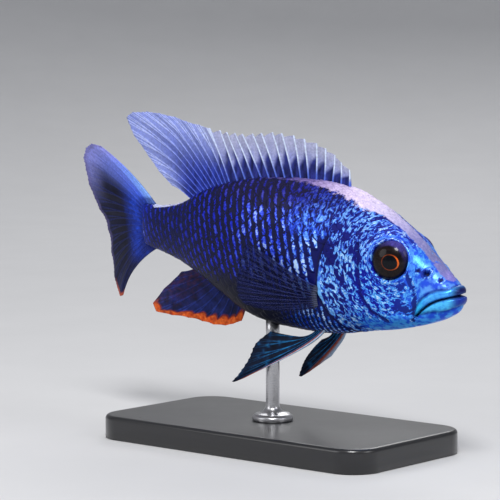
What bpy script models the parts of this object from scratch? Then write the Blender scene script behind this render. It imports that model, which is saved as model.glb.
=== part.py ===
# Electric blue hap cichlid, a still life-size display model on a plain stand.
# The fish is drawn straight first, in millimetres: X forward, Y to its left, Z up, with its
# origin in the middle of the body. Its tail bend and twist are put into each finished mesh,
# and an empty above the stand carries its height, roll and nose-down pitch.
import math

import bmesh
import bpy
import numpy as np

MM = 0.001
# Clear space between two neighbouring solids, wider at the fins that stand off curved flanks.
GAP = 0.3
PAIRED_FIN_GAP = 0.42
# Half width of the plates that cut through the whole fish from the side.
CUTTER_HALF_WIDTH = 30.0

# Pose: the tail curves to the fish's left, the tail fin leans its top to the right.
BEND_START = -15.0
BEND_RADIUS = 380.0
TWIST_START = -42.0
TWIST_END = -80.0
TWIST_TOP = math.radians(15.0)
ROLL = math.radians(4.0)
PITCH = math.radians(6.0)
FISH_HEIGHT = 57.0

# Stand: a rounded plate with one rod under the belly.
BASE_LENGTH = 100.0
BASE_WIDTH = 52.0
BASE_HEIGHT = 7.0
BASE_CORNER = 9.0
BASE_EDGE = 1.2
ROD_X = -2.0
ROD_RADIUS = 2.0
# Length of the rod before its top is cut to the belly.
ROD_BLANK = 35.7
FOOT_RADIUS = 6.0
FOOT_HEIGHT = 3.0

# Body outline by stations from the front of the mouth (0) to the end of the tail stem.
# Each row: back x, z; widest line x, y, z; belly x, z; squareness of the upper and lower half.
# Stations 0 to 5 follow the mouth line along the widest line, to the corner of the mouth.
STATIONS = (
    (66.2, -1.8, 66.2, 0.0, -1.8, 66.2, -1.8, 0.10, 0.10),
    (66.0, -0.7, 65.6, 2.0, -2.1, 66.1, -3.4, 0.15, 0.10),
    (65.1, 0.4, 64.2, 3.6, -2.7, 65.8, -5.2, 0.20, 0.10),
    (63.2, 1.6, 61.9, 4.8, -3.9, 64.7, -7.0, 0.30, 0.10),
    (60.4, 3.7, 58.8, 5.7, -5.7, 62.2, -8.8, 0.40, 0.10),
    (56.7, 6.6, 55.2, 6.5, -8.5, 58.3, -10.8, 0.48, 0.10),
    (52.4, 9.9, 51.0, 7.5, -9.0, 53.2, -12.7, 0.52, 0.10),
    (47.3, 13.4, 46.2, 8.5, -7.8, 47.2, -14.6, 0.50, 0.10),
    (41.5, 16.7, 40.8, 9.4, -6.2, 41.0, -16.2, 0.40, 0.10),
    (35.2, 19.7, 34.9, 10.2, -5.0, 34.8, -17.9, 0.25, 0.10),
    (28.6, 22.2, 28.4, 10.8, -4.0, 28.4, -19.7, 0.12, 0.12),
    (20.0, 23.3, 20.0, 11.0, -3.2, 20.0, -21.1, 0.05, 0.15),
    (10.0, 22.9, 10.0, 10.8, -2.5, 10.0, -21.7, 0.05, 0.15),
    (0.0, 21.8, 0.0, 10.3, -1.9, 0.0, -21.8, 0.05, 0.12),
    (-10.0, 20.1, -10.0, 9.3, -1.4, -10.0, -20.2, 0.05, 0.08),
    (-20.0, 17.3, -20.0, 7.9, -1.0, -20.0, -16.1, 0.05, 0.05),
    (-30.0, 13.3, -30.0, 6.1, -0.9, -30.0, -12.1, 0.05, 0.05),
    (-38.0, 8.8, -38.0, 4.6, -1.0, -38.0, -9.8, 0.08, 0.05),
    (-46.0, 6.5, -46.0, 3.4, -1.1, -46.0, -8.5, 0.12, 0.10),
    (-53.5, 5.9, -53.5, 2.3, -1.2, -53.5, -8.0, 0.20, 0.20),
    (-55.5, 5.3, -55.5, 1.2, -1.2, -55.5, -7.5, 0.25, 0.25),
)
MOUTH_CORNER = 5.0
STEM_FRONT = -37.0
AROUND = 32
MOUTH_RINGS = 12
HEAD_RINGS = 14
TRUNK_RINGS = 14
STEM_RINGS = 5

# Cuts through the head, seen from the side: each is a thin slab along a line of x, z points.
GILL_LINE = (
    (33.0, 28.0), (31.2, 20.0), (27.6, 12.5), (25.0, 7.0), (23.7, 2.0), (23.5, -2.5),
    (24.3, -7.5), (26.8, -12.2), (30.6, -15.8), (35.0, -18.0), (38.0, -24.0),
)
LIP_FOLD = (
    (70.0, 2.8), (64.4, 0.9), (61.8, 0.0), (59.3, -1.4), (57.1, -3.4), (55.3, -6.0),
    (54.3, -9.2),
)
MOUTH_LINE = (
    (72.0, 1.4), (66.2, -1.8), (64.2, -2.7), (61.9, -3.9), (58.8, -5.7), (56.9, -6.9),
    (55.4, -8.2), (54.4, -9.2),
)
JAW_REAR = ((54.6, -9.0), (53.6, -10.5), (52.2, -13.0), (50.6, -18.0))
MOUTH_GAP = 0.55

# Gill cover: its front edge, and the thickness of the plate.
COVER_FRONT = (
    (27.0, 14.5), (31.0, 12.6), (33.6, 8.6), (34.6, 3.0), (35.0, -3.0), (36.4, -8.0),
    (39.6, -12.0), (44.0, -14.2), (45.5, -20.0),
)
COVER_REAR = ((10.0, -25.0), (10.0, 14.5))
COVER_THICKNESS = 1.8
THROAT = ((5.0, -30.0), (60.0, -30.0), (60.0, 0.0), (5.0, 0.0))
COVER_FIRST_RING = 8
THROAT_HALF_WIDTH = 2.2

# Eye: a flattened ball turned a little forward and up.
EYE_X, EYE_Z = 46.9, 5.8
EYE_OUT = 9.8
EYE_RADIUS = 5.6
EYE_DEPTH = 3.4
EYE_FORWARD = math.radians(14.0)
EYE_UP = math.radians(6.0)
# The head swells a little round the eye: by this much, out to about this distance.
RIM_RISE = 0.9
RIM_REACH = 7.4

NOSTRIL_X, NOSTRIL_Z = 56.6, 3.3
NOSTRIL_RADIUS = 0.75
NOSTRIL_DEPTH = 1.4
# Lip: a bar along the mouth line, thinner at the corner. Shares of its own radius say how far
# it lies above or below that line and how far back at the front, and LIP_INWARD draws it in.
LIP_RADIUS = 1.25
LIP_END_RADIUS = 0.75
LIP_OFF_LINE = 0.9
LIP_SET_BACK = 0.45
LIP_INWARD = 0.91
LIP_STEPS, LIP_SIDES = 18, 8

# Fins: half thickness of a ray at its root and tip, and of the membrane.
RAY_ROOT, RAY_TIP = 0.55, 0.2
MEMBRANE_ROOT, MEMBRANE_EDGE = 0.35, 0.22
# How far the edge draws back between two rays, as a share of their length.
SPINE_NOTCH = (0.03, 0.15)
SOFT_NOTCH = (0.035,)

# Dorsal fin: 16 spines and 11 soft rays. Tips of some of them, by number, as x, z.
SPINES, SOFT_RAYS = 16, 11
DORSAL_FIRST, DORSAL_LAST_SPINE, DORSAL_END = 25.6, -19.5, -35.6
DORSAL_KNOTS = (0, 3, 7, 11, 15, 17, 20, 22, 24, 26)
DORSAL_TIPS = (
    (25.0, 27.0), (16.4, 32.0), (0.0, 34.3), (-15.0, 32.2), (-28.0, 32.2), (-38.0, 33.0),
    (-53.0, 34.2), (-60.6, 31.6), (-53.0, 20.6), (-43.5, 12.6),
)
DORSAL_BOW, SOFT_BOW = 0.02, 0.05
DORSAL_ROWS = 7

# Anal fin: 3 spines and 9 soft rays.
ANAL_FRONT, ANAL_END, ANAL_COUNT = -12.0, -33.2, 12
ANAL_KNOTS = (0, 2, 5, 8, 9, 11)
ANAL_TIPS = (
    (-13.2, -23.6), (-19.5, -26.2), (-34.5, -26.6), (-53.2, -26.0), (-48.0, -20.4), (-38.5, -13.0),
)
ANAL_SPINES = 3
ANAL_BOW = -0.04
ANAL_ROWS = 6

# Tail fin: 18 rays round the end of the stem, its rear edge drawn in a little at the middle.
TAIL_COUNT = 18
TAIL_ROOT_KNOTS = (0, 1, 2, 3, 14, 15, 16, 17)
TAIL_ROOTS = (
    (-51.2, 6.55), (-53.6, 6.3), (-55.4, 6.0), (-56.0, 4.9), (-56.0, -7.1), (-55.4, -8.2),
    (-53.6, -8.45), (-51.2, -8.6),
)
TAIL_KNOTS = (0, 1, 2, 4, 6, 8, 9, 12, 14, 15, 17)
TAIL_TIPS = (
    (-72.5, 21.4), (-76.0, 21.8), (-79.2, 20.0), (-81.4, 12.5), (-79.9, 3.0), (-76.2, -3.2),
    (-75.3, -6.6), (-76.2, -18.5), (-76.6, -27.0), (-75.0, -29.2), (-71.6, -27.0),
)
TAIL_BOW_TOP, TAIL_BOW_LOW = 0.04, 0.07
TAIL_ROWS = 8

# Pectoral fin: 13 rays. Places are x, distance from the middle, z.
PECTORAL_COUNT = 13
PECTORAL_BASE = ((24.0, -4.6), (23.3, -11.0))
PECTORAL_KNOTS = (0, 2, 4, 6, 9, 12)
PECTORAL_TIPS = (
    (7.0, 12.3, 1.0), (-1.2, 12.9, 3.4), (-3.4, 13.1, -1.4), (-4.4, 13.2, -7.5),
    (-1.8, 12.9, -14.0), (11.0, 12.4, -14.4),
)
PECTORAL_LIFT = 2.0
PECTORAL_ROWS = 8

# Pelvic fin: one spine and five rays, the left one hanging steeper than the right.
# Tips are x, distance from the middle, z.
PELVIC_BASE = ((22.4, -19.2), (18.0, -20.3))
PELVIC_TIPS = {
    -1: (
        (7.0, 7.8, -31.2), (-7.9, 8.7, -39.6), (-6.2, 8.4, -36.9), (-3.2, 8.0, -32.0),
        (-0.8, 7.5, -26.8), (3.8, 6.9, -22.4),
    ),
    1: (
        (15.8, 7.0, -30.0), (3.6, 8.4, -38.8), (4.0, 8.0, -36.0), (6.0, 7.3, -32.4),
        (9.4, 6.6, -28.6), (12.6, 6.0, -25.4),
    ),
}
PELVIC_DROP = 2.2
PELVIC_SAG = (0.0, 0.3, -0.8)
PELVIC_ROWS = 9

# Colours as red, green, blue, then roughness and metallic value.
FINISHES = {
    "skin": ((0.05, 0.13, 0.55), 0.35, 0.0),
    "lip": ((0.08, 0.45, 0.62), 0.32, 0.0),
    "fin": ((0.16, 0.25, 0.70), 0.4, 0.0),
    "dusky_fin": ((0.10, 0.12, 0.30), 0.4, 0.0),
    "orange_fin": ((0.38, 0.14, 0.16), 0.4, 0.0),
    "eye": ((0.03, 0.015, 0.01), 0.05, 0.0),
    "base": ((0.02, 0.02, 0.022), 0.25, 0.0),
    "rod": ((0.6, 0.6, 0.62), 0.25, 1.0),
}
FINISH_OF = {
    "upper_jaw": "lip", "lower_jaw": "lip", "eye_left": "eye", "eye_right": "eye",
    "dorsal_fin": "fin", "tail_fin": "fin", "anal_fin": "orange_fin",
    "pectoral_fin_left": "dusky_fin", "pectoral_fin_right": "dusky_fin",
    "pelvic_fin_left": "dusky_fin", "pelvic_fin_right": "dusky_fin",
    "stand_base": "base", "stand_rod": "rod",
}


def smooth_through(knots, rows, at):
    """Smooth curve through rows placed at rising knots, read at the values in at."""
    knots = np.asarray(knots, float)
    rows = np.asarray(rows, float)
    slopes = np.gradient(rows, knots, axis=0)
    at = np.clip(np.asarray(at, float), knots[0], knots[-1])
    i = np.clip(np.searchsorted(knots, at, side="right") - 1, 0, len(knots) - 2)
    step = (knots[i + 1] - knots[i])[..., None]
    t = (at[..., None] - knots[i][..., None]) / step
    start = rows[i] * (1 + 2 * t) * (1 - t) ** 2 + slopes[i] * step * t * (1 - t) ** 2
    end = rows[i + 1] * t * t * (3 - 2 * t) - slopes[i + 1] * step * t * t * (1 - t)
    return start + end


def body_point(station, angle, inset=0.0):
    """Point on the straight body. The angle turns from the fish's left (0) over its back."""
    station, angle = np.broadcast_arrays(np.asarray(station, float), np.asarray(angle, float))
    row = smooth_through(range(len(STATIONS)), STATIONS, station)
    back_x, back_z, side_x, side_y, side_z, belly_x, belly_z, square_up, square_down = row.T
    side, rise = np.cos(angle.T), np.sin(angle.T)
    upper = rise > 0
    square = np.where(upper, square_up, square_down)
    x = side_x + (np.where(upper, back_x, belly_x) - side_x) * rise**2
    y = side_y * side * (1 + square * rise**2)
    z = side_z + np.where(upper, back_z - side_z, side_z - belly_z) * rise
    away = ((x - EYE_X) ** 2 + (z - EYE_Z) ** 2) / RIM_REACH**2
    y = y * (1 + RIM_RISE * np.exp(-(away**2)) / side_y.clip(1.0))
    point = np.stack([x, y, z]).T
    if inset:
        point = point - inset * body_normal(station, angle)
    return point


def body_normal(station, angle, step=0.02):
    """Outward normal of the body, from its slopes along and around."""
    last = len(STATIONS) - 1
    station = np.clip(station, 0.05, last - step)
    along = body_point(station + step, angle) - body_point(station - step, angle)
    around = body_point(station, angle + step) - body_point(station, angle - step)
    normal = np.cross(along, around)
    return normal / np.maximum(np.linalg.norm(normal, axis=-1, keepdims=True), 1e-9)


def outline_height(x, angle):
    """Height of the back (angle 90 degrees) or belly (-90 degrees) above a place along the body."""
    stations = np.linspace(6, len(STATIONS) - 1, 400)
    line = body_point(stations, np.full_like(stations, angle))
    return np.interp(x, line[::-1, 0], line[::-1, 2])


def on_flank(x, z, side):
    """Station and angle of the flank's point that has this x and z, on the left (+1) or right (-1)."""
    station, angle = np.meshgrid(np.linspace(0.3, 18, 355), np.radians(np.linspace(-88, 88, 177)))
    points = body_point(station, angle)
    nearest = np.argmin((points[..., 0] - x) ** 2 + (points[..., 2] - z) ** 2)
    found = angle.flat[nearest]
    return station.flat[nearest], found if side > 0 else math.pi - found


def station_at(x):
    """Station number whose widest line lies at x."""
    stations = np.linspace(0, len(STATIONS) - 1, 2000)
    line = smooth_through(range(len(STATIONS)), STATIONS, stations)
    return float(np.interp(-x, -line[:, 2], stations))


def new_object(name, points, faces):
    mesh = bpy.data.meshes.new(name)
    mesh.from_pydata([tuple(p) for p in np.asarray(points, float)], [], [tuple(f) for f in faces])
    mesh.update()
    made = bpy.data.objects.new(name, mesh)
    bpy.context.scene.collection.objects.link(made)
    return made


def body_block(name, stations, inset=0.0, to_tip=False):
    """Closed length of the body between its first and last station, capped at both ends."""
    angles = np.linspace(0, 2 * math.pi, AROUND, endpoint=False)
    rings = [body_point(np.full(AROUND, s), angles, inset) for s in stations]
    points = np.concatenate(rings)
    faces = []
    for ring in range(len(stations) - 1):
        for a in range(AROUND):
            b = (a + 1) % AROUND
            low, high = ring * AROUND, (ring + 1) * AROUND
            faces.append((low + a, low + b, high + b, high + a))
    first, last = np.arange(AROUND), np.arange(AROUND) + (len(stations) - 1) * AROUND
    front = body_point(0.0, 0.0) if to_tip else points[first].mean(axis=0)
    if to_tip:
        front = front - (inset, 0, 0)
    ends = np.array([front, points[last].mean(axis=0)])
    centre = len(points)
    points = np.concatenate([points, ends])
    for a in range(AROUND):
        b = (a + 1) % AROUND
        faces.append((first[b], first[a], centre))
        faces.append((last[a], last[b], centre + 1))
    block = new_object(name, points, faces)
    face_out(block)
    return block


def face_out(made):
    """Turns every face of a closed mesh to point outwards."""
    mesh = bmesh.new()
    mesh.from_mesh(made.data)
    bmesh.ops.recalc_face_normals(mesh, faces=mesh.faces)
    mesh.to_mesh(made.data)
    mesh.free()


def prism(name, outline, half_width=CUTTER_HALF_WIDTH):
    """Upright plate: an outline of x, z points, to the same distance on both sides."""
    count = len(outline)
    points = [(x, y, z) for y in (-half_width, half_width) for x, z in outline]
    faces = [tuple(range(count)), tuple(range(2 * count - 1, count - 1, -1))]
    for i in range(count):
        j = (i + 1) % count
        faces.append((i, j, j + count, i + count))
    made = new_object(name, points, faces)
    face_out(made)
    return made


def slab(name, line, thickness):
    """Thin plate across the fish along a line of x, z points."""
    line = np.asarray(line, float)
    heading = np.gradient(line, axis=0)
    heading /= np.linalg.norm(heading, axis=1, keepdims=True)
    side = np.stack([-heading[:, 1], heading[:, 0]], axis=1) * thickness / 2
    return prism(name, np.concatenate([line + side, (line - side)[::-1]]))


def evaluated_mesh(made):
    graph = bpy.context.evaluated_depsgraph_get()
    return bpy.data.meshes.new_from_object(made.evaluated_get(graph))


def boolean(target, other, operation, keep_other=False):
    """Cuts or joins two closed meshes and keeps the result in the first."""
    modifier = target.modifiers.new("boolean", "BOOLEAN")
    modifier.operation = operation
    modifier.solver = "EXACT"
    modifier.object = other
    bpy.context.view_layer.update()
    target.data = evaluated_mesh(target)
    target.modifiers.clear()
    if not keep_other:
        bpy.data.objects.remove(other)


def loose_parts(made):
    """Splits a mesh into its closed surfaces, as new objects, and removes the first."""
    mesh = bmesh.new()
    mesh.from_mesh(made.data)
    mesh.verts.ensure_lookup_table()
    unseen = set(range(len(mesh.verts)))
    parts = []
    while unseen:
        stack = [unseen.pop()]
        group = set(stack)
        while stack:
            for edge in mesh.verts[stack.pop()].link_edges:
                for vertex in edge.verts:
                    if vertex.index in unseen:
                        unseen.remove(vertex.index)
                        group.add(vertex.index)
                        stack.append(vertex.index)
        order = {index: place for place, index in enumerate(sorted(group))}
        points = [mesh.verts[index].co.copy() for index in order]
        faces = [[order[v.index] for v in f.verts] for f in mesh.faces if f.verts[0].index in group]
        parts.append(new_object(made.name + "_part", points, faces))
    mesh.free()
    bpy.data.objects.remove(made)
    return sorted(parts, key=lambda part: -volume_of(part))


def volume_of(made):
    mesh = bmesh.new()
    mesh.from_mesh(made.data)
    volume = mesh.calc_volume()
    mesh.free()
    return volume


def centre_of(made):
    return np.mean([vertex.co for vertex in made.data.vertices], axis=0)


def keep_largest(made):
    """Keeps the largest closed surface, under the same name."""
    name = made.name
    parts = loose_parts(made)
    for scrap in parts[1:]:
        bpy.data.objects.remove(scrap)
    parts[0].name = name
    return parts[0]


def ellipsoid(name, centre, radii, directions, segments, rings):
    """Ball stretched to three radii along three directions."""
    mesh = bmesh.new()
    bmesh.ops.create_uvsphere(mesh, u_segments=segments, v_segments=rings, radius=1.0)
    turned = np.array([v.co for v in mesh.verts]) * radii @ np.asarray(directions) + centre
    for vertex, place in zip(mesh.verts, turned):
        vertex.co = place
    data = bpy.data.meshes.new(name)
    mesh.to_mesh(data)
    mesh.free()
    made = bpy.data.objects.new(name, data)
    bpy.context.scene.collection.objects.link(made)
    face_out(made)
    return made


def eye_directions(side):
    """The eye's own axes: round its rim, up, and out of the head."""
    out = np.array([
        math.sin(EYE_FORWARD) * math.cos(EYE_UP),
        side * math.cos(EYE_FORWARD) * math.cos(EYE_UP),
        math.sin(EYE_UP),
    ])
    along = np.cross((0, 0, 1), out)
    along /= np.linalg.norm(along)
    return np.array([along, np.cross(out, along), out])


def eye_ball(name, side, grown=0.0):
    directions = eye_directions(side)
    centre = np.array([EYE_X, side * EYE_OUT, EYE_Z]) - directions[2] * EYE_DEPTH
    radii = np.array([EYE_RADIUS, EYE_RADIUS, EYE_DEPTH]) + grown
    return ellipsoid(name, centre, radii, directions, 24, 12)


def nostril_cutter(side):
    station, angle = on_flank(NOSTRIL_X, NOSTRIL_Z, side)
    centre = body_point(station, angle)
    radii = np.array([1, 1, NOSTRIL_DEPTH]) * NOSTRIL_RADIUS
    return ellipsoid("nostril", centre, radii, np.eye(3), 8, 6)


def lip(name, rise):
    """Round bar along the mouth line, from one corner over the front to the other."""
    steps, sides = LIP_STEPS, LIP_SIDES
    stations = np.abs(np.linspace(-MOUTH_CORNER, MOUTH_CORNER, steps))
    angle = np.where(np.linspace(-1, 1, steps) < 0, 0.0, math.pi)
    line = body_point(stations, angle)
    share = stations / MOUTH_CORNER
    radius = LIP_RADIUS + (LIP_END_RADIUS - LIP_RADIUS) * share
    line[:, 2] += rise * radius * LIP_OFF_LINE
    line[:, 0] -= radius * LIP_SET_BACK * (1 - share)
    line[:, 1] *= LIP_INWARD
    heading = np.gradient(line, axis=0)
    heading /= np.linalg.norm(heading, axis=1, keepdims=True)
    out = np.cross(heading, (0, 0, 1))
    out /= np.linalg.norm(out, axis=1, keepdims=True)
    up = np.cross(out, heading)
    turn = np.linspace(0, 2 * math.pi, sides, endpoint=False)
    ring = np.cos(turn)[None, :, None] * out[:, None] + np.sin(turn)[None, :, None] * up[:, None]
    points = (line[:, None] + ring * radius[:, None, None]).reshape(-1, 3)
    faces = [tuple(range(sides)), tuple(range((steps - 1) * sides, steps * sides))]
    for i in range(steps - 1):
        for a in range(sides):
            b = (a + 1) % sides
            faces.append((i * sides + a, i * sides + b, (i + 1) * sides + b, (i + 1) * sides + a))
    made = new_object(name, points, faces)
    face_out(made)
    return made


def head_stations():
    """Rings close together at the mouth and wider apart towards the trunk."""
    mouth = MOUTH_CORNER * np.linspace(0, 1, MOUTH_RINGS)[1:] ** 1.15
    rest = np.linspace(MOUTH_CORNER, station_at(19.0), HEAD_RINGS)[1:]
    return np.concatenate([mouth, rest])


def trunk_stations():
    return np.linspace(station_at(40.0), station_at(STEM_FRONT), TRUNK_RINGS)


def stem_stations():
    front = station_at(STEM_FRONT - GAP)
    return np.append(np.linspace(front, len(STATIONS) - 2, STEM_RINGS), len(STATIONS) - 1)


def cover_cutter(name, grown):
    """Volume of both gill covers: an outline from the side, less the head's core and throat."""
    front = np.array(COVER_FRONT, float)
    heading = np.gradient(front, axis=0)
    heading /= np.linalg.norm(heading, axis=1, keepdims=True)
    front += np.stack([-heading[:, 1], heading[:, 0]], axis=1) * grown
    outline = np.concatenate([front, COVER_REAR])
    made = prism(name, outline)
    stations = np.linspace(7.0, station_at(14.0), 12)
    core = body_block(name + "_core", stations, inset=COVER_THICKNESS + grown)
    boolean(made, core, "DIFFERENCE")
    boolean(made, prism(name + "_throat", THROAT, THROAT_HALF_WIDTH - grown), "DIFFERENCE")
    return made


def beyond_gill_line(name, far_x, shift=0.0):
    """Plate from the gill line to a place well before or behind it."""
    line = [(x + shift, z) for x, z in GILL_LINE]
    return prism(name, line + [(far_x, -CUTTER_HALF_WIDTH), (far_x, CUTTER_HALF_WIDTH)])


def make_gill_covers():
    """Both gill covers: curved plates cut out of the whole head."""
    covers = body_block("covers", head_stations()[COVER_FIRST_RING:])
    boolean(covers, beyond_gill_line("behind", 0.0), "DIFFERENCE")
    boolean(covers, cover_cutter("cover_volume", 0.0), "INTERSECT")
    left, right = sorted(loose_parts(covers)[:2], key=lambda part: -centre_of(part)[1])
    left.name, right.name = "gill_cover_left", "gill_cover_right"
    return [left, right]


def make_skull_and_jaws():
    """Head without its gill covers, parted from both jaws by thin cuts. The jaws carry lips."""
    head = body_block("head", head_stations(), to_tip=True)
    boolean(head, beyond_gill_line("behind", 0.0), "DIFFERENCE")
    boolean(head, cover_cutter("cover_room", GAP), "DIFFERENCE")
    for name, line, thickness in (
        ("lip_fold", LIP_FOLD, GAP), ("mouth", MOUTH_LINE, MOUTH_GAP), ("jaw_rear", JAW_REAR, GAP),
    ):
        boolean(head, slab(name, line, thickness), "DIFFERENCE")
    skull, first, second = loose_parts(head)[:3]
    upper, lower = sorted((first, second), key=lambda part: -centre_of(part)[2])
    skull.name, upper.name, lower.name = "head", "upper_jaw", "lower_jaw"
    for jaw, rise in ((upper, 1), (lower, -1)):
        boolean(jaw, lip("lip", rise), "UNION")
        boolean(jaw, slab("mouth", MOUTH_LINE, MOUTH_GAP), "DIFFERENCE")
    boolean(upper, slab("fold", LIP_FOLD, GAP), "DIFFERENCE")
    boolean(lower, slab("rear", JAW_REAR, GAP), "DIFFERENCE")
    return [skull, upper, lower]


def make_head():
    """Head, jaws, gill covers and eyes."""
    skull, upper, lower = make_skull_and_jaws()
    eyes = []
    for side, word in ((1, "left"), (-1, "right")):
        boolean(skull, eye_ball("socket", side, GAP), "DIFFERENCE")
        boolean(skull, nostril_cutter(side), "DIFFERENCE")
        eyes.append(eye_ball("eye_" + word, side))
    solid = [keep_largest(piece) for piece in [skull, upper, lower] + make_gill_covers()]
    return solid + eyes


def make_trunk():
    """Trunk behind the gill line, and the tail stem."""
    trunk = body_block("trunk", trunk_stations())
    boolean(trunk, beyond_gill_line("ahead", 70.0, shift=-GAP), "DIFFERENCE")
    return [keep_largest(trunk), body_block("tail_stem", stem_stations())]


def ray_curve(root, first, second, tip, along):
    """Smooth curve from a ray's root to its tip, through two guide points."""
    t = np.asarray(along, float)[:, None]
    return (
        root * (1 - t) ** 3 + 3 * first * t * (1 - t) ** 2
        + 3 * second * t * t * (1 - t) + tip * t**3
    )


def fin_mesh(name, rays, membranes, rows, notch, out=None):
    """Fin between its rays: a closed sheet, thick along each ray and thin between them.

    rays holds the four guide points of each ray. membranes holds, for each place between two
    rays, how far across it lies. notch is how far the edge draws back at each such place."""
    centre, thick = [], []
    along = np.linspace(0, 1, rows)
    count = len(rays)
    for number in range(count):
        centre.append(ray_curve(*rays[number], along))
        thick.append(RAY_ROOT + (RAY_TIP - RAY_ROOT) * along)
        if number == count - 1:
            break
        for across, back in zip(membranes[number], notch[number]):
            guides = rays[number] * (1 - across) + rays[number + 1] * across
            centre.append(ray_curve(*guides, along * (1 - back)))
            thick.append(MEMBRANE_ROOT + (MEMBRANE_EDGE - MEMBRANE_ROOT) * along)
    centre, thick = np.array(centre), np.array(thick)[..., None]
    if out is None:
        across = np.gradient(centre, axis=0)
        outward = np.gradient(centre, axis=1)
        normal = np.cross(across, outward)
        normal /= np.linalg.norm(normal, axis=-1, keepdims=True)
    else:
        normal = np.broadcast_to(np.asarray(out, float), centre.shape)
    return sheet(name, centre + normal * thick, centre - normal * thick)


def sheet(name, face, back):
    """Closed solid between two grids of points that have the same shape."""
    columns, rows = face.shape[:2]
    points = np.concatenate([face.reshape(-1, 3), back.reshape(-1, 3)])
    other = columns * rows
    faces = []
    for i in range(columns - 1):
        for j in range(rows - 1):
            a, b = i * rows + j, i * rows + j + 1
            c, d = a + rows, b + rows
            faces += [(a, c, d), (a, d, b)]
            faces += [(a + other, d + other, c + other), (a + other, b + other, d + other)]
    rim = [i * rows for i in range(columns)]
    rim += [(columns - 1) * rows + j for j in range(1, rows)]
    rim += [i * rows + rows - 1 for i in range(columns - 2, -1, -1)]
    rim += [j for j in range(rows - 2, 0, -1)]
    for a, b in zip(rim, rim[1:] + rim[:1]):
        faces += [(a, b + other, b), (a, a + other, b + other)]
    made = new_object(name, points, faces)
    face_out(made)
    return made


def flat_rays(roots, tips, bow):
    """Rays of an upright fin: each bows forward of the straight line to its tip."""
    rays = []
    for (root_x, root_z), (tip_x, tip_z), curve in zip(roots, tips, bow):
        root, tip = np.array([root_x, 0.0, root_z]), np.array([tip_x, 0.0, tip_z])
        lean = np.array([tip_z - root_z, 0.0, root_x - tip_x]) * curve
        reach = (tip - root) / 3
        rays.append(np.array([root, root + reach + lean, tip - reach + lean, tip]))
    return np.array(rays)


def make_dorsal_fin():
    count = SPINES + SOFT_RAYS
    spine_x = np.linspace(DORSAL_FIRST, DORSAL_LAST_SPINE, SPINES)
    soft_x = np.linspace(DORSAL_LAST_SPINE, DORSAL_END, SOFT_RAYS + 1)[1:]
    root_x = np.concatenate([spine_x, soft_x])
    roots = np.stack([root_x, outline_height(root_x, math.pi / 2) + GAP], axis=1)
    tips = smooth_through(DORSAL_KNOTS, DORSAL_TIPS, np.arange(count))
    bow = np.where(np.arange(count) < SPINES, DORSAL_BOW, SOFT_BOW)
    membranes = [(0.25, 0.75)] * (SPINES - 1) + [(0.5,)] * SOFT_RAYS
    notch = [SPINE_NOTCH] * (SPINES - 1) + [SOFT_NOTCH] * SOFT_RAYS
    rays = flat_rays(roots, tips, bow)
    return fin_mesh("dorsal_fin", rays, membranes, DORSAL_ROWS, notch, out=(0, 1, 0))


def make_anal_fin():
    root_x = np.linspace(ANAL_FRONT, ANAL_END, ANAL_COUNT)
    roots = np.stack([root_x, outline_height(root_x, -math.pi / 2) - GAP], axis=1)
    tips = smooth_through(ANAL_KNOTS, ANAL_TIPS, np.arange(ANAL_COUNT))
    soft = ANAL_COUNT - 1 - ANAL_SPINES
    membranes = [(0.25, 0.75)] * ANAL_SPINES + [(0.5,)] * soft
    notch = [SPINE_NOTCH] * ANAL_SPINES + [SOFT_NOTCH] * soft
    rays = flat_rays(roots, tips, np.full(ANAL_COUNT, ANAL_BOW))
    return fin_mesh("anal_fin", rays, membranes, ANAL_ROWS, notch, out=(0, 1, 0))


def make_tail_fin():
    number = np.arange(TAIL_COUNT)
    roots = np.stack([
        np.interp(number, TAIL_ROOT_KNOTS, [x for x, z in TAIL_ROOTS]),
        np.interp(number, TAIL_ROOT_KNOTS, [z for x, z in TAIL_ROOTS]),
    ], axis=1)
    tips = smooth_through(TAIL_KNOTS, TAIL_TIPS, number)
    rays = flat_rays(roots, tips, np.linspace(TAIL_BOW_TOP, TAIL_BOW_LOW, TAIL_COUNT))
    membranes = [(0.5,)] * (TAIL_COUNT - 1)
    notch = [SOFT_NOTCH] * (TAIL_COUNT - 1)
    return fin_mesh("tail_fin", rays, membranes, TAIL_ROWS, notch, out=(0, 1, 0))


def paired_root(base, part):
    """Root of a paired fin's ray, just off the flank, and the flank's outward direction there."""
    place = np.array(base[0]) * (1 - part) + np.array(base[1]) * part
    station, angle = on_flank(place[0], place[1], 1)
    normal = body_normal(station, angle)
    return body_point(station, angle) + normal * PAIRED_FIN_GAP, normal


def make_pectoral_fin(name, side):
    tips = smooth_through(PECTORAL_KNOTS, PECTORAL_TIPS, np.arange(PECTORAL_COUNT))
    rays = []
    for number, tip in enumerate(tips):
        root, normal = paired_root(PECTORAL_BASE, number / (PECTORAL_COUNT - 1))
        first = root + normal * PECTORAL_LIFT + (tip - root) * 0.1
        second = root + (tip - root) * 0.55 + normal * PECTORAL_LIFT * 0.6
        rays.append(np.array([root, first, second, tip]) * (1, side, 1))
    gaps = PECTORAL_COUNT - 1
    return fin_mesh(name, np.array(rays), [(0.5,)] * gaps, PECTORAL_ROWS, [SOFT_NOTCH] * gaps)


def make_pelvic_fin(name, side):
    rays = []
    tips = PELVIC_TIPS[side]
    for number, tip in enumerate(tips):
        root, normal = paired_root(PELVIC_BASE, number / (len(tips) - 1))
        first = root + normal * PELVIC_DROP + (tip - root) * 0.15
        second = root + (tip - root) * 0.62 + np.array(PELVIC_SAG)
        rays.append(np.array([root, first, second, tip]) * (1, side, 1))
    gaps = len(tips) - 1
    notch = [(0.04, 0.06)] * gaps
    return fin_mesh(name, np.array(rays), [(0.33, 0.67)] * gaps, PELVIC_ROWS, notch)


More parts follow.
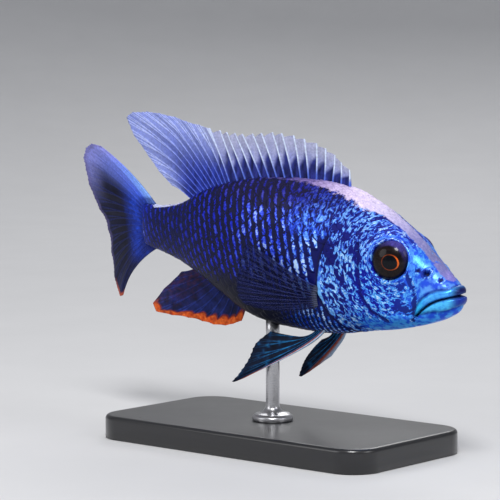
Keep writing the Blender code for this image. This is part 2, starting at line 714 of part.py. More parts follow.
def bent(points):
    """Puts the tail's twist and bend into points of the straight fish."""
    x, y, z = np.asarray(points, float).T
    share = np.clip((TWIST_START - x) / (TWIST_START - TWIST_END), 0, 1.2)
    twist = TWIST_TOP * share
    y, z = y * np.cos(twist) - z * np.sin(twist), y * np.sin(twist) + z * np.cos(twist)
    turn = np.maximum(BEND_START - x, 0) / BEND_RADIUS
    centre_x = np.where(turn > 0, BEND_START - BEND_RADIUS * np.sin(turn), x)
    centre_y = BEND_RADIUS * (1 - np.cos(turn))
    return np.stack([centre_x + y * np.sin(turn), centre_y + y * np.cos(turn), z], axis=1)


def pose_piece(piece, carrier):
    """Bends a piece of the fish, turns it to metres and hangs it on the carrier."""
    data = piece.data
    points = bent([vertex.co for vertex in data.vertices]) * MM
    data.vertices.foreach_set("co", points.astype(np.float32).ravel())
    data.update()
    piece.parent = carrier


def rod_profile(top):
    """Outline of the rod with its foot, from the outer side, as radius and height."""
    return (
        (0.0, top), (ROD_RADIUS, top), (ROD_RADIUS, FOOT_HEIGHT + 1.2),
        (ROD_RADIUS * 1.3, FOOT_HEIGHT), (FOOT_RADIUS * 0.85, FOOT_HEIGHT * 0.7),
        (FOOT_RADIUS, FOOT_HEIGHT * 0.45), (FOOT_RADIUS, 0.0), (0.0, 0.0),
    )


def make_rod(belly):
    """Turned rod on the base, its top cut to the belly with a small gap."""
    profile = rod_profile(ROD_BLANK)
    outline = bpy.data.meshes.new("stand_rod")
    links = [(i, i + 1) for i in range(len(profile) - 1)]
    outline.from_pydata([(r * MM, 0, h * MM) for r, h in profile], links, [])
    rod = bpy.data.objects.new("stand_rod", outline)
    bpy.context.scene.collection.objects.link(rod)
    rod.location = (ROD_X * MM, 0, (BASE_HEIGHT + GAP) * MM)
    screw = rod.modifiers.new("turn", "SCREW")
    screw.steps = screw.render_steps = 28
    screw.use_merge_vertices = True
    screw.merge_threshold = 1e-5
    bpy.context.view_layer.update()
    rod.data = evaluated_mesh(rod)
    rod.modifiers.clear()
    face_out(rod)
    boolean(rod, belly, "DIFFERENCE")
    name = rod.name
    parts = loose_parts(rod)
    lowest = min(parts, key=lambda part: centre_of(part)[2])
    for part in parts:
        if part is not lowest:
            bpy.data.objects.remove(part)
    lowest.name = name
    lowest.location = (ROD_X * MM, 0, (BASE_HEIGHT + GAP) * MM)
    return lowest


def make_base():
    """Rounded plate with softened edges, flat underneath."""
    bpy.ops.mesh.primitive_cube_add(size=1, location=(0, 0, BASE_HEIGHT * MM / 2))
    base = bpy.context.object
    base.name = base.data.name = "stand_base"
    mesh = bmesh.new()
    mesh.from_mesh(base.data)
    bmesh.ops.scale(mesh, vec=(BASE_LENGTH * MM, BASE_WIDTH * MM, BASE_HEIGHT * MM), verts=mesh.verts)
    upright = [e for e in mesh.edges if abs(e.verts[0].co.z - e.verts[1].co.z) > MM]
    bmesh.ops.bevel(
        mesh, geom=upright, offset=BASE_CORNER * MM, segments=6, profile=0.5, affect="EDGES"
    )
    top = [e for e in mesh.edges if min(v.co.z for v in e.verts) > BASE_HEIGHT * MM * 0.49]
    bmesh.ops.bevel(mesh, geom=top, offset=BASE_EDGE * MM, segments=3, profile=0.5, affect="EDGES")
    mesh.to_mesh(base.data)
    mesh.free()
    return base


def finish(piece):
    """Gives a piece its own material and smooth shading."""
    colour, roughness, metallic = FINISHES[FINISH_OF.get(piece.name, "skin")]
    material = bpy.data.materials.new(piece.name)
    material.use_nodes = True
    shader = material.node_tree.nodes["Principled BSDF"]
    shader.inputs["Base Color"].default_value = (*colour, 1.0)
    shader.inputs["Roughness"].default_value = roughness
    shader.inputs["Metallic"].default_value = metallic
    piece.data.materials.clear()
    piece.data.materials.append(material)
    piece.data.shade_smooth()
    piece.data.set_sharp_from_angle(angle=math.radians(40))


def main():
    for old in list(bpy.data.objects):
        bpy.data.objects.remove(old)
    carrier = bpy.data.objects.new("fish_pose", None)
    carrier.location = (0, 0, FISH_HEIGHT * MM)
    carrier.rotation_euler = (ROLL, PITCH, 0)
    bpy.context.scene.collection.objects.link(carrier)

    fish = make_head() + make_trunk()
    fish += [make_dorsal_fin(), make_anal_fin(), make_tail_fin()]
    for side, word in ((1, "left"), (-1, "right")):
        fish.append(make_pectoral_fin("pectoral_fin_" + word, side))
        fish.append(make_pelvic_fin("pelvic_fin_" + word, side))
    belly = body_block("belly", trunk_stations(), inset=-GAP)
    for piece in fish + [belly]:
        pose_piece(piece, carrier)
    bpy.context.view_layer.update()

    pieces = fish + [make_base(), make_rod(belly)]
    model = bpy.data.collections.new("cichlid_model")
    bpy.context.scene.collection.children.link(model)
    for piece in pieces:
        for holder in list(piece.users_collection):
            holder.objects.unlink(piece)
        model.objects.link(piece)
        finish(piece)


main()
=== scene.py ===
# Looks of the electric blue hap cichlid model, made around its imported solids.
# The fish is made straight, in millimetres: X forward, Y to its left, Z up, with its origin in
# the middle of the body. to_row then puts the tail's bend and the pose into each finished mesh.
import math

import bmesh
import bpy
import numpy as np
from mathutils import Euler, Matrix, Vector


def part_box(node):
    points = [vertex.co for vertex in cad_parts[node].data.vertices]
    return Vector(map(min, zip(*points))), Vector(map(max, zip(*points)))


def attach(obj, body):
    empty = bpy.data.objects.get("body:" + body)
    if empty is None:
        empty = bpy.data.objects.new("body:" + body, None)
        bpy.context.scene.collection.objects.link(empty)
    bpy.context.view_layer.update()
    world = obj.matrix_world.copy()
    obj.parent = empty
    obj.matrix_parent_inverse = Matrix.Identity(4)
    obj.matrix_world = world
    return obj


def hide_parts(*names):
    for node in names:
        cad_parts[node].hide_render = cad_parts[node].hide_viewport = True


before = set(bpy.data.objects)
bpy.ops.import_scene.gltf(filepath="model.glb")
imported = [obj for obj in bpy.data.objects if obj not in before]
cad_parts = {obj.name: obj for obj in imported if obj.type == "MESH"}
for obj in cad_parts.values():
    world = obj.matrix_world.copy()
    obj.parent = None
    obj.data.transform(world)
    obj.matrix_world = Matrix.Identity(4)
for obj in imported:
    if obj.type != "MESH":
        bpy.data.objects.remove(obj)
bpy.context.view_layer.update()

MM = 0.001
# Pose of the fish, as in its solids.
BEND_START, BEND_RADIUS = -15.0, 380.0
TWIST_START, TWIST_END, TWIST_TOP = -42.0, -80.0, math.radians(15.0)
ROLL, PITCH = math.radians(4.0), math.radians(6.0)
FISH_HEIGHT = 57.0

# Stand, as in its solids.
BASE_LENGTH, BASE_WIDTH, BASE_HEIGHT = 100.0, 52.0, 7.0
BASE_CORNER, BASE_EDGE = 9.0, 1.2
ROD_X, ROD_RADIUS = -2.0, 2.0
FOOT_RADIUS, FOOT_HEIGHT = 6.0, 3.0
# Bevel under the base, and how far the rod's top goes into the belly.
BASE_FOOT = 0.3
ROD_SUNK = 0.6

# Body outline by stations from the front of the mouth (0) to the end of the tail stem.
# Each row: back x, z; widest line x, y, z; belly x, z; squareness of the upper and lower half.
STATIONS = (
    (66.2, -1.8, 66.2, 0.0, -1.8, 66.2, -1.8, 0.10, 0.10),
    (66.0, -0.7, 65.6, 2.0, -2.1, 66.1, -3.4, 0.15, 0.10),
    (65.1, 0.4, 64.2, 3.6, -2.7, 65.8, -5.2, 0.20, 0.10),
    (63.2, 1.6, 61.9, 4.8, -3.9, 64.7, -7.0, 0.30, 0.10),
    (60.4, 3.7, 58.8, 5.7, -5.7, 62.2, -8.8, 0.40, 0.10),
    (56.7, 6.6, 55.2, 6.5, -8.5, 58.3, -10.8, 0.48, 0.10),
    (52.4, 9.9, 51.0, 7.5, -9.0, 53.2, -12.7, 0.52, 0.10),
    (47.3, 13.4, 46.2, 8.5, -7.8, 47.2, -14.6, 0.50, 0.10),
    (41.5, 16.7, 40.8, 9.4, -6.2, 41.0, -16.2, 0.40, 0.10),
    (35.2, 19.7, 34.9, 10.2, -5.0, 34.8, -17.9, 0.25, 0.10),
    (28.6, 22.2, 28.4, 10.8, -4.0, 28.4, -19.7, 0.12, 0.12),
    (20.0, 23.3, 20.0, 11.0, -3.2, 20.0, -21.1, 0.05, 0.15),
    (10.0, 22.9, 10.0, 10.8, -2.5, 10.0, -21.7, 0.05, 0.15),
    (0.0, 21.8, 0.0, 10.3, -1.9, 0.0, -21.8, 0.05, 0.12),
    (-10.0, 20.1, -10.0, 9.3, -1.4, -10.0, -20.2, 0.05, 0.08),
    (-20.0, 17.3, -20.0, 7.9, -1.0, -20.0, -16.1, 0.05, 0.05),
    (-30.0, 13.3, -30.0, 6.1, -0.9, -30.0, -12.1, 0.05, 0.05),
    (-38.0, 8.8, -38.0, 4.6, -1.0, -38.0, -9.8, 0.08, 0.05),
    (-46.0, 6.5, -46.0, 3.4, -1.1, -46.0, -8.5, 0.12, 0.10),
    (-53.5, 5.9, -53.5, 2.3, -1.2, -53.5, -8.0, 0.20, 0.20),
    (-55.5, 5.3, -55.5, 1.2, -1.2, -55.5, -7.5, 0.25, 0.25),
)
LAST_STATION = len(STATIONS) - 1

EYE_X, EYE_Z, EYE_OUT = 46.9, 5.8, 9.8
EYE_RADIUS, EYE_DEPTH = 5.6, 3.4
PUPIL = (0.75, -0.15)
EYE_FORWARD, EYE_UP = math.radians(14.0), math.radians(6.0)
RIM_RISE, RIM_REACH = 0.9, 7.4

# Lines on the side of the head, as x, z points.
GILL_LINE = (
    (31.2, 20.0), (27.6, 12.5), (25.0, 7.0), (23.7, 2.0), (23.5, -2.5), (24.3, -7.5),
    (26.8, -12.2), (30.6, -15.8), (35.0, -18.0), (38.0, -24.0),
)
MOUTH_LINE = (
    (72.0, 0.6), (66.2, -1.9), (64.2, -2.4), (62.2, -3.05), (60.6, -3.75), (58.9, -4.8),
    (57.5, -6.0), (56.4, -7.1), (55.2, -8.6),
)
LIP_FOLD = (
    (70.0, 2.6), (64.4, 0.8), (63.3, -0.1), (60.8, -0.7), (58.7, -1.7), (56.7, -3.4),
    (55.1, -5.6), (54.5, -8.8),
)
LOWER_LIP_EDGE = (
    (70.0, -3.2), (66.0, -4.6), (65.1, -5.1), (63.3, -6.1), (61.7, -6.6), (60.0, -6.8),
    (58.5, -7.2), (56.4, -8.1), (55.0, -9.3),
)
JAW_FOLD = ((55.2, -8.7), (54.2, -10.0), (52.6, -12.2))
PREORBITAL = ((51.3, 3.9), (52.9, 1.2), (54.1, -1.4), (54.5, -4.1), (54.3, -7.8))
PREOPERCLE = ((35.9, 9.1), (36.6, 5.0), (37.0, 0.6), (38.5, -5.4), (41.9, -9.6), (46.3, -11.4))
NOSTRIL = (57.0, 3.4)
PORES = ((54.8, 3.9), (60.9, 2.1))

# Fins, as in the solids.
SPINES, SOFT_RAYS = 16, 11
DORSAL_FIRST, DORSAL_LAST_SPINE, DORSAL_END = 25.6, -19.5, -35.6
DORSAL_KNOTS = (0, 3, 7, 11, 15, 17, 20, 22, 24, 26)
DORSAL_TIPS = (
    (25.0, 27.0), (16.4, 32.0), (0.0, 34.3), (-15.0, 32.2), (-28.0, 32.2), (-38.0, 33.0),
    (-53.0, 34.2), (-60.6, 31.6), (-53.0, 20.6), (-43.5, 12.6),
)
DORSAL_BOW, SOFT_BOW = 0.02, 0.05
ANAL_FRONT, ANAL_END, ANAL_COUNT, ANAL_BOW = -12.0, -33.2, 12, -0.04
ANAL_KNOTS = (0, 2, 5, 8, 9, 11)
ANAL_TIPS = (
    (-13.2, -23.6), (-19.5, -26.2), (-34.5, -26.6), (-53.2, -26.0), (-48.0, -20.4), (-38.5, -13.0),
)
TAIL_COUNT = 18
TAIL_ROOT_KNOTS = (0, 1, 2, 3, 14, 15, 16, 17)
TAIL_ROOTS = (
    (-51.2, 6.55), (-53.6, 6.3), (-55.4, 6.0), (-56.0, 4.9), (-56.0, -7.1), (-55.4, -8.2),
    (-53.6, -8.45), (-51.2, -8.6),
)
TAIL_KNOTS = (0, 1, 2, 4, 6, 8, 9, 12, 14, 15, 17)
TAIL_TIPS = (
    (-72.5, 21.4), (-76.0, 21.8), (-79.2, 20.0), (-81.4, 12.5), (-79.9, 3.0), (-76.2, -3.2),
    (-75.3, -6.6), (-76.2, -18.5), (-76.6, -27.0), (-75.0, -29.2), (-71.6, -27.0),
)
TAIL_BOW_TOP, TAIL_BOW_LOW = 0.04, 0.07
PECTORAL_COUNT = 13
PECTORAL_BASE = ((24.0, -4.6), (23.3, -11.0))
PECTORAL_KNOTS = (0, 2, 4, 6, 9, 12)
PECTORAL_TIPS = (
    (7.0, 12.3, 1.0), (-1.2, 12.9, 3.4), (-3.4, 13.1, -1.4), (-4.4, 13.2, -7.5),
    (-1.8, 12.9, -14.0), (11.0, 12.4, -14.4),
)
PELVIC_BASE = ((22.4, -19.2), (18.0, -20.3))
PELVIC_TIPS = {
    -1: (
        (7.0, 7.8, -31.2), (-7.9, 8.7, -39.6), (-6.2, 8.4, -36.9), (-3.2, 8.0, -32.0),
        (-0.8, 7.5, -26.8), (3.8, 6.9, -22.4),
    ),
    1: (
        (15.8, 7.0, -30.0), (3.6, 8.4, -38.8), (4.0, 8.0, -36.0), (6.0, 7.3, -32.4),
        (9.4, 6.6, -28.6), (12.6, 6.0, -25.4),
    ),
}
# How a paired fin's rays leave the flank: outward at the root, the shares of their length where
# they turn, outward again at the second turn, and their sag there.
PECTORAL_CURVE = (2.0, 0.1, 0.55, 1.2, (0.0, 0.0, 0.0))
PELVIC_CURVE = (2.2, 0.15, 0.62, 0.0, (0.0, 0.3, -0.8))
FIN_GAP, PAIRED_FIN_GAP = 0.3, 0.42
# How far the root of a fin is sunk into the body.
FIN_SUNK = 1.1

# Skin: its depth under the solids, on the bare head and under the trunk's scales.
HEAD_INSET, TRUNK_INSET = 0.12, 0.42
# Points round the skin, distance between its rings, and where the finer rings end.
SKIN_AROUND = 330
HEAD_STEP, TRUNK_STEP, FINE_TO_X = 0.28, 0.9, 20.0
# Length of one turn round the body on the skin's unwrap, and a scale's patch there.
SKIN_TURN, PATCH = 0.94, 0.003

# Scales. columns: first and last x, and the distance between columns there. lean: how far a
# column goes forward for each millimetre down. rows and long: distance between rows and length
# of a scale by -x. wide: width in rows. across: points along each side of a vane's grid.
TRUNK_SCALES = {
    "columns": (36.0, -61.0, 3.1, 2.0), "lean": 0.36, "wide": 1.22, "lift": 0.34, "across": 11,
    "rows": ((-24, -10, 5, 25, 52), (4.5, 4.3, 3.8, 3.1, 2.6)), "long": ((-36, 61), (5.89, 3.8)),
    "seed": 0,
}
SMALL_SCALES = {
    "columns": (50.0, 8.0, 1.75, 1.75), "lean": 0.0, "wide": 1.1, "lift": 0.26, "across": 7,
    "rows": ((-50, -8), (2.0, 2.0)), "long": ((-50, -8), (3.3, 3.3)), "seed": 10,
}
FIRST_SCALE_X, LAST_SCALE_X = 50.0, -53.2
# A scale's underside below the skin, and its thickness at its root and how much thinner its end is.
SCALE_SUNK, SCALE_THICK, SCALE_TAPER = 0.14, 0.12, 0.06

# The brighter colours and shares on the head and shoulder than on the rear flank are partly the
# fish's own colour and partly painted light of a lamp from the front.
# Each zone: x, z, reach along, reach up, dark colour, bright colour, share that is bright.
ZONES = (
    (20, 7, 7, 9, (9, 15, 84), (98, 162, 250), 0.54),
    (3, 3, 11, 9, (14, 18, 56), (72, 104, 240), 0.5),
    (-17, 1, 11, 9, (15, 18, 54), (46, 62, 200), 0.45),
    (-42, -1, 14, 8, (17, 22, 64), (38, 52, 166), 0.43),
    (-58, -1, 5, 9, (24, 44, 138), (44, 78, 210), 0.5),
    (2, 20, 24, 4, (26, 24, 56), (72, 70, 164), 0.41),
    (-4, -18, 20, 7, (9, 13, 34), (26, 34, 88), 0.24),
    (20, -17, 9, 5, (4, 24, 78), (44, 134, 244), 0.59),
    (29, -3, 5, 10, (8, 16, 106), (118, 192, 252), 0.51),
    (42, -5, 6, 6, (6, 18, 142), (94, 184, 255), 0.53),
    (32, 13, 8, 5, (12, 20, 116), (120, 182, 252), 0.49),
    (47, 13, 4, 3, (30, 40, 140), (110, 150, 238), 0.6),
    (52, 0, 4, 6, (18, 42, 140), (84, 172, 250), 0.69),
    (59, 2, 4, 3, (28, 60, 176), (98, 158, 250), 0.72),
    (60, -9, 8, 2.5, (18, 38, 98), (66, 160, 248), 0.76),
    (47, -13, 7, 2.5, (18, 50, 138), (66, 168, 252), 0.73),
)
# Dark places in the head's pattern: x, z and reach.
DARK_PATCHES = (
    (27.7, 3.1, 1.5), (26.2, 6.4, 1.6), (31.3, 10.3, 1.2), (28.2, 12.1, 1.3), (36.4, 5.9, 1.1),
    (49.7, -6.2, 1.3), (52.1, -7.3, 1.1), (50.6, -1.2, 1.0),
)
# The pale stripe along the top: x, half its width, its strength, and its colour.
BLAZE = (
    (66.0, 1.6, 0.0, (120, 112, 190)), (64.2, 1.7, 0.1, (128, 120, 200)),
    (62.5, 2.1, 0.72, (142, 132, 214)), (59.3, 2.6, 0.76, (140, 134, 190)),
    (55.5, 2.4, 0.74, (136, 132, 180)), (50.3, 2.2, 0.8, (146, 142, 196)),
    (45.6, 2.3, 0.95, (186, 178, 224)), (40.2, 2.9, 1.0, (216, 204, 240)),
    (37.0, 4.2, 1.0, (226, 212, 248)), (33.9, 5.0, 1.0, (232, 216, 250)),
    (28.9, 4.8, 0.95, (226, 208, 244)), (23.7, 4.4, 0.88, (212, 194, 236)),
    (18.0, 4.2, 0.75, (176, 156, 208)), (12.0, 3.6, 0.66, (132, 114, 176)),
    (6.0, 2.8, 0.6, (100, 86, 156)), (-2.0, 1.9, 0.5, (80, 74, 146)),
    (-26.0, 0.9, 0.3, (90, 90, 160)), (-33.0, 0.9, 0.5, (160, 160, 220)),
    (-38.0, 1.5, 0.85, (196, 196, 236)), (-49.0, 1.5, 0.85, (196, 204, 240)),
    (-54.0, 1.4, 0.3, (120, 130, 220)),
)
# Lowest z of the stripe, by -x.
BLAZE_FOOT = ((-66, -52, -20, 20, 36, 55), (0.5, 6, 15, 12, 5, 3))
# Pattern of the head: how arcs grow wider with distance from the eye, and how long they are.
ARC_SPREAD, ARC_FINE, ARC_LENGTH = 0.05, 1.2, 2.1
# Distance from the eye's axis of the pale ring round it.
RING_REACH = 6.7
# Attributes that hold colours.
COLOURS = ("dark", "bright", "pale", "paint")

# Studio, in metres: the camera as the photo's, the floor's flat part, its rim and the lights.
CAMERA_PLACE, CAMERA_AIM = (0.4162, -0.4960, 0.1137), (0, 0, 0.057)
CAMERA_LENS, CAMERA_SHIFT = 161.46, -0.056
FLOOR_FLAT, FLOOR_FAR, FLOOR_HIGH, FLOOR_AROUND = 0.9, 2.4, 1.5, 96
LIGHTS = (
    ("key", (0.45, -0.60, 0.95), 0.35, 11.0), ("fill", (-0.5, -0.9, 0.5), 0.6, 2.5),
    ("front", (1.0, 0.1, 0.6), 0.5, 2.5), ("back", (-0.6, 0.9, 0.8), 0.7, 4.0),
)


# Shape of the body


def stack(*values):
    """Values side by side in a new last axis."""
    return np.stack(np.broadcast_arrays(*values), axis=-1)


def parts(points):
    """x, distance from the middle plane, and z."""
    return points[..., 0], np.abs(points[..., 1]), points[..., 2]


def smooth_through(knots, rows, at):
    """Smooth curve through rows placed at rising knots, read at the values in at."""
    knots, rows = np.asarray(knots, float), np.asarray(rows, float)
    slopes = np.gradient(rows, knots, axis=0)
    at = np.clip(np.asarray(at, float), knots[0], knots[-1])
    i = np.clip(np.searchsorted(knots, at, side="right") - 1, 0, len(knots) - 2)
    step = (knots[i + 1] - knots[i])[..., None]
    t = (at[..., None] - knots[i][..., None]) / step
    start = rows[i] * (1 + 2 * t) * (1 - t) ** 2 + slopes[i] * step * t * (1 - t) ** 2
    end = rows[i + 1] * t * t * (3 - 2 * t) - slopes[i + 1] * step * t * t * (1 - t)
    return start + end


def body_point(station, angle):
    """Point on the straight body. The angle turns from the fish's left (0) over its back."""
    station, angle = np.broadcast_arrays(np.asarray(station, float), np.asarray(angle, float))
    row = smooth_through(range(len(STATIONS)), STATIONS, station)
    back_x, back_z, side_x, side_y, side_z, belly_x, belly_z, square_up, square_down = row.T
    side, rise = np.cos(angle.T), np.sin(angle.T)
    upper = rise > 0
    square = np.where(upper, square_up, square_down)
    x = side_x + (np.where(upper, back_x, belly_x) - side_x) * rise**2
    y = side_y * side * (1 + square * rise**2)
    z = side_z + np.where(upper, back_z - side_z, side_z - belly_z) * rise
    away = ((x - EYE_X) ** 2 + (z - EYE_Z) ** 2) / RIM_REACH**2
    y = y * (1 + RIM_RISE * np.exp(-(away**2)) / side_y.clip(1.0))
    return np.stack([x, y, z]).T


def body_normal(station, angle, step=0.02):
    """Outward normal of the body, from its slopes along and around."""
    station = np.clip(station, 0.05, LAST_STATION - step)
    along = body_point(station + step, angle) - body_point(station - step, angle)
    around = body_point(station, angle + step) - body_point(station, angle - step)
    normal = np.cross(along, around)
    return normal / np.maximum(np.linalg.norm(normal, axis=-1, keepdims=True), 1e-9)


def outline_height(x, angle):
    """Height of the back (angle 90 degrees) or belly (-90 degrees) at a place along the body."""
    line = body_point(np.linspace(6, LAST_STATION, 400), angle)
    return np.interp(x, line[::-1, 0], line[::-1, 2])


def on_flank(x, z):
    """Station and angle of the left flank's point that has this x and z."""
    station, angle = np.meshgrid(np.linspace(0.3, 18, 355), np.radians(np.linspace(-88, 88, 177)))
    points = body_point(station, angle)
    nearest = np.argmin((points[..., 0] - x) ** 2 + (points[..., 2] - z) ** 2)
    return station.flat[nearest], angle.flat[nearest]


def bent(points):
    """Puts the tail's twist and bend into points of the straight fish."""
    x, y, z = points.T
    twist = TWIST_TOP * np.clip((TWIST_START - x) / (TWIST_START - TWIST_END), 0, 1.2)
    y, z = y * np.cos(twist) - z * np.sin(twist), y * np.sin(twist) + z * np.cos(twist)
    turn = np.maximum(BEND_START - x, 0) / BEND_RADIUS
    centre_x = np.where(turn > 0, BEND_START - BEND_RADIUS * np.sin(turn), x)
    centre_y = BEND_RADIUS * (1 - np.cos(turn))
    return stack(centre_x + y * np.sin(turn), centre_y + y * np.cos(turn), z)


def to_row(points):
    """Points of the straight fish, in millimetres, to their place in the model, in metres."""
    turn = np.array(Euler((ROLL, PITCH, 0)).to_matrix())
    return bent(np.asarray(points, float).reshape(-1, 3)) @ turn.T * MM + (0, 0, FISH_HEIGHT * MM)


def ramp(low, high, value):
    """0 below low, 1 above high, smooth between. High may be the smaller of the two."""
    t = np.clip((np.asarray(value, float) - low) / (high - low), 0, 1)
    return t * t * (3 - 2 * t)


def bell(distance, width):
    return np.exp(-((distance / width) ** 2))


def value_noise(points, size, seed):
    """Smooth random value from 0 to 1, with features of about this size."""
    place = np.asarray(points, float) / size + seed * 17.37
    cell = np.floor(place).astype(np.int64)
    part = place - cell
    part = part * part * (3 - 2 * part)
    total = np.zeros(place.shape[:-1])
    for corner in np.ndindex(2, 2, 2):
        at = cell + corner
        mixed = at[..., 0] * 73856093 ^ at[..., 1] * 19349663 ^ at[..., 2] * 83492791
        mixed = (mixed ^ (mixed >> 13)) * 1274126177 & 0x7FFFFFFF
        mixed = (mixed ^ (mixed >> 15)) & 0xFFFF
        weight = np.prod(np.where(np.array(corner) == 1, part, 1 - part), axis=-1)
        total += weight * mixed / 65535.0
    return total


def from_line(x, z, line):
    """Distance in the side view to a line of x, z points, below 0 on one side of it.

    Going along the line from front to rear or from its top down, it is above 0 over it or
    behind it."""
    best = np.full(np.shape(x), 1e9)
    for (ax, az), (bx, bz) in zip(line, line[1:]):
        dx, dz = bx - ax, bz - az
        t = np.clip(((x - ax) * dx + (z - az) * dz) / (dx * dx + dz * dz), 0, 1)
        away = np.hypot(x - ax - t * dx, z - az - t * dz)
        away = np.where(dz * (x - ax) - dx * (z - az) >= 0, away, -away)
        best = np.where(np.abs(away) < np.abs(best), away, best)
    return best


def from_spot(x, z, spot):
    return np.hypot(x - spot[0], z - spot[1])


def linear(tint):
    """Colour given as 0 to 255 on a screen, as the linear values that shaders take."""
    share = np.array(tint, float) / 255
    return np.where(share <= 0.04045, share / 12.92, ((share + 0.055) / 1.055) ** 2.4)


def blend(share, first, second):
    """Mixes two colours: a tuple is a screen colour, an array holds linear ones."""
    share = np.asarray(share)[..., None]
    first, second = (linear(tint) if isinstance(tint, tuple) else tint for tint in (first, second))
    return first * (1 - share) + second * share


def layered(colour, *layers):
    """Lays colours over a colour one after another, each with its weight."""
    for weight, tint in layers:
        colour = blend(weight, colour, tint)
    return colour


# Relief of the head


def eye_directions(side):
    """The eye's own axes: round its rim, up, and out of the head."""
    out = np.array([
        math.sin(EYE_FORWARD) * math.cos(EYE_UP),
        side * math.cos(EYE_FORWARD) * math.cos(EYE_UP),
        math.sin(EYE_UP),
    ])
    along = np.cross((0, 0, 1), out)
    along /= np.linalg.norm(along)
    return np.array([along, np.cross(out, along), out])


def from_eye(points):
    """Distance from the eye's axis of that side, in the plane of its rim."""
    local = (stack(*parts(points)) - (EYE_X, EYE_OUT, EYE_Z)) @ eye_directions(1).T
    return np.hypot(local[..., 0], local[..., 1])


def lip_masks(x, z):
    """Distances from the lips' lines, how far a place lies in each lip, and the lips' swelling."""
    mouth, fold, edge = (from_line(x, z, line) for line in (MOUTH_LINE, LIP_FOLD, LOWER_LIP_EDGE))
    in_upper = (mouth > 0) & (fold < 0) & (x > 54.6)
    in_lower = (mouth < 0) & (edge > 0) & (x > 54.9)
    lips = []
    for inside, other in ((in_upper, fold), (in_lower, edge)):
        wide = np.abs(mouth) + np.abs(other)
        share = np.abs(mouth) / np.maximum(wide, 1e-6)
        lips.append((np.where(inside, np.sin(np.pi * share).clip(0, 1) ** 0.7, 0), 0.24 * wide))
    (upper, upper_rise), (lower, lower_rise) = lips
    front = 0.3 + 0.7 * ramp(66.0, 62.5, x)
    rise = upper * np.minimum(upper_rise, 0.55) * front + lower * np.minimum(lower_rise, 0.5)
    return mouth, fold, edge, upper, lower, rise


def mouth_relief(x, z):
    mouth, fold, edge, _, _, rise = lip_masks(x, z)
    aside = 0.2 + 0.8 * ramp(64.6, 61.5, x)
    rise = rise - 1.5 * bell(mouth, 0.34) - 0.35 * bell(from_line(x, z, JAW_FOLD), 0.45)
    return rise - (0.46 * bell(fold, 0.42) + 0.26 * bell(edge, 0.5)) * aside


def gill_relief(x, y, z):
    """Free edge of the gill cover, a step down behind it, and folds under the throat."""
    ahead = -from_line(x, z, GILL_LINE)
    edge = np.tanh(ahead / 0.28) * 0.5 + 0.5
    raised = 0.38 * np.exp(-np.maximum(ahead, 0) / 4.5) * edge
    dropped = -0.6 * np.exp(np.minimum(ahead, 0) / 1.3) * (1 - edge)
    folds = -0.16 * (0.5 + 0.5 * np.cos(2 * np.pi * ahead / 1.9)) * ramp(-12.5, -15, z)
    folds = folds * ramp(0.4, 1.0, ahead) * ramp(8.5, 6.0, ahead) * ramp(0.5, 2.0, y)
    return (raised + dropped) * ramp(11.5, 7.5, z) * ramp(1.0, 3.0, y) + folds


def relief(points):
    """How far the skin stands out from the smooth body, with its sign."""
    x, y, z = parts(points)
    ahead = -from_line(x, z, PREOPERCLE)
    rise = mouth_relief(x, z) + gill_relief(x, y, z)
    rise = rise - 0.22 * bell(from_line(x, z, PREORBITAL), 0.45)
    rise = rise - 0.34 * bell(ahead, 0.5) + 0.16 * bell(ahead - 1.3, 0.9)
    nostril = from_spot(x, z, NOSTRIL)
    hole = 0.25 * bell(nostril - 1.15, 0.35) - 1.3 * ramp(0.95, 0.5, nostril)
    for pore in PORES:
        hole = hole - 0.45 * bell(from_spot(x, z, pore), 0.4)
    rise = rise + hole * ramp(1.0, 2.5, y) + 0.3 * bell(from_spot(x, z, (42.5, -3.5)), 5.0)
    chin = ramp(38.0, 42.0, x) * ramp(65.0, 61.0, x) * (z < -5)
    rise = rise - 0.3 * bell(y, 0.6) * chin + 0.2 * bell(y - 3.2, 1.2) * chin
    round_eye = from_eye(points)
    rise = rise + 0.28 * bell(round_eye - 6.0, 0.45) - 2.6 * ramp(5.65, 5.05, round_eye)
    return rise + 0.45 * ramp(2.4, 0.6, np.abs(from_line(x, z, PECTORAL_BASE)))


def skin_inset(x):
    return HEAD_INSET + (TRUNK_INSET - HEAD_INSET) * ramp(48.0, 26.0, x)


# Colours of the skin and scales


def tints(x, z):
    """Dark and bright colour of the skin at each place, with the share that is bright."""
    weights = np.array([
        np.exp(-(((x - at_x) / long) ** 2 + ((z - at_z) / high) ** 2)) + 1e-9
        for at_x, at_z, long, high, *_ in ZONES
    ])
    weights /= weights.sum(axis=0)
    values = np.array([(*linear(dark), *linear(bright), share) for *_, dark, bright, share in ZONES])
    mixed = np.tensordot(weights, values, (0, 0))
    return mixed[..., :3], mixed[..., 3:6], mixed[..., 6]


def blaze_at(x, y, z):
    """Weight and colour of the pale stripe along the top of the head and back."""
    rows = np.array([(-at_x, half, weight, *linear(tint)) for at_x, half, weight, tint in BLAZE])
    half, strength, *tint = (np.interp(-x, rows[:, 0], column) for column in rows[:, 1:].T)
    top = z > np.interp(-x, *BLAZE_FOOT)
    return np.where(top, ramp(1.4, 0.6, y / half) * strength, 0), stack(*tint)


def lie_of(points):
    """Place in the head's pattern: across the arcs round the eye, and where round the eye."""
    x, y, z = points[..., 0], points[..., 1], points[..., 2]
    away = np.sqrt((x - EYE_X) ** 2 + (np.abs(y) - EYE_OUT) ** 2 + (z - EYE_Z) ** 2)
    across = ARC_FINE * np.log(1 + ARC_SPREAD * away) / ARC_SPREAD + 3 * np.tanh(y / 2)
    return stack(across, x / ARC_LENGTH, z / ARC_LENGTH)


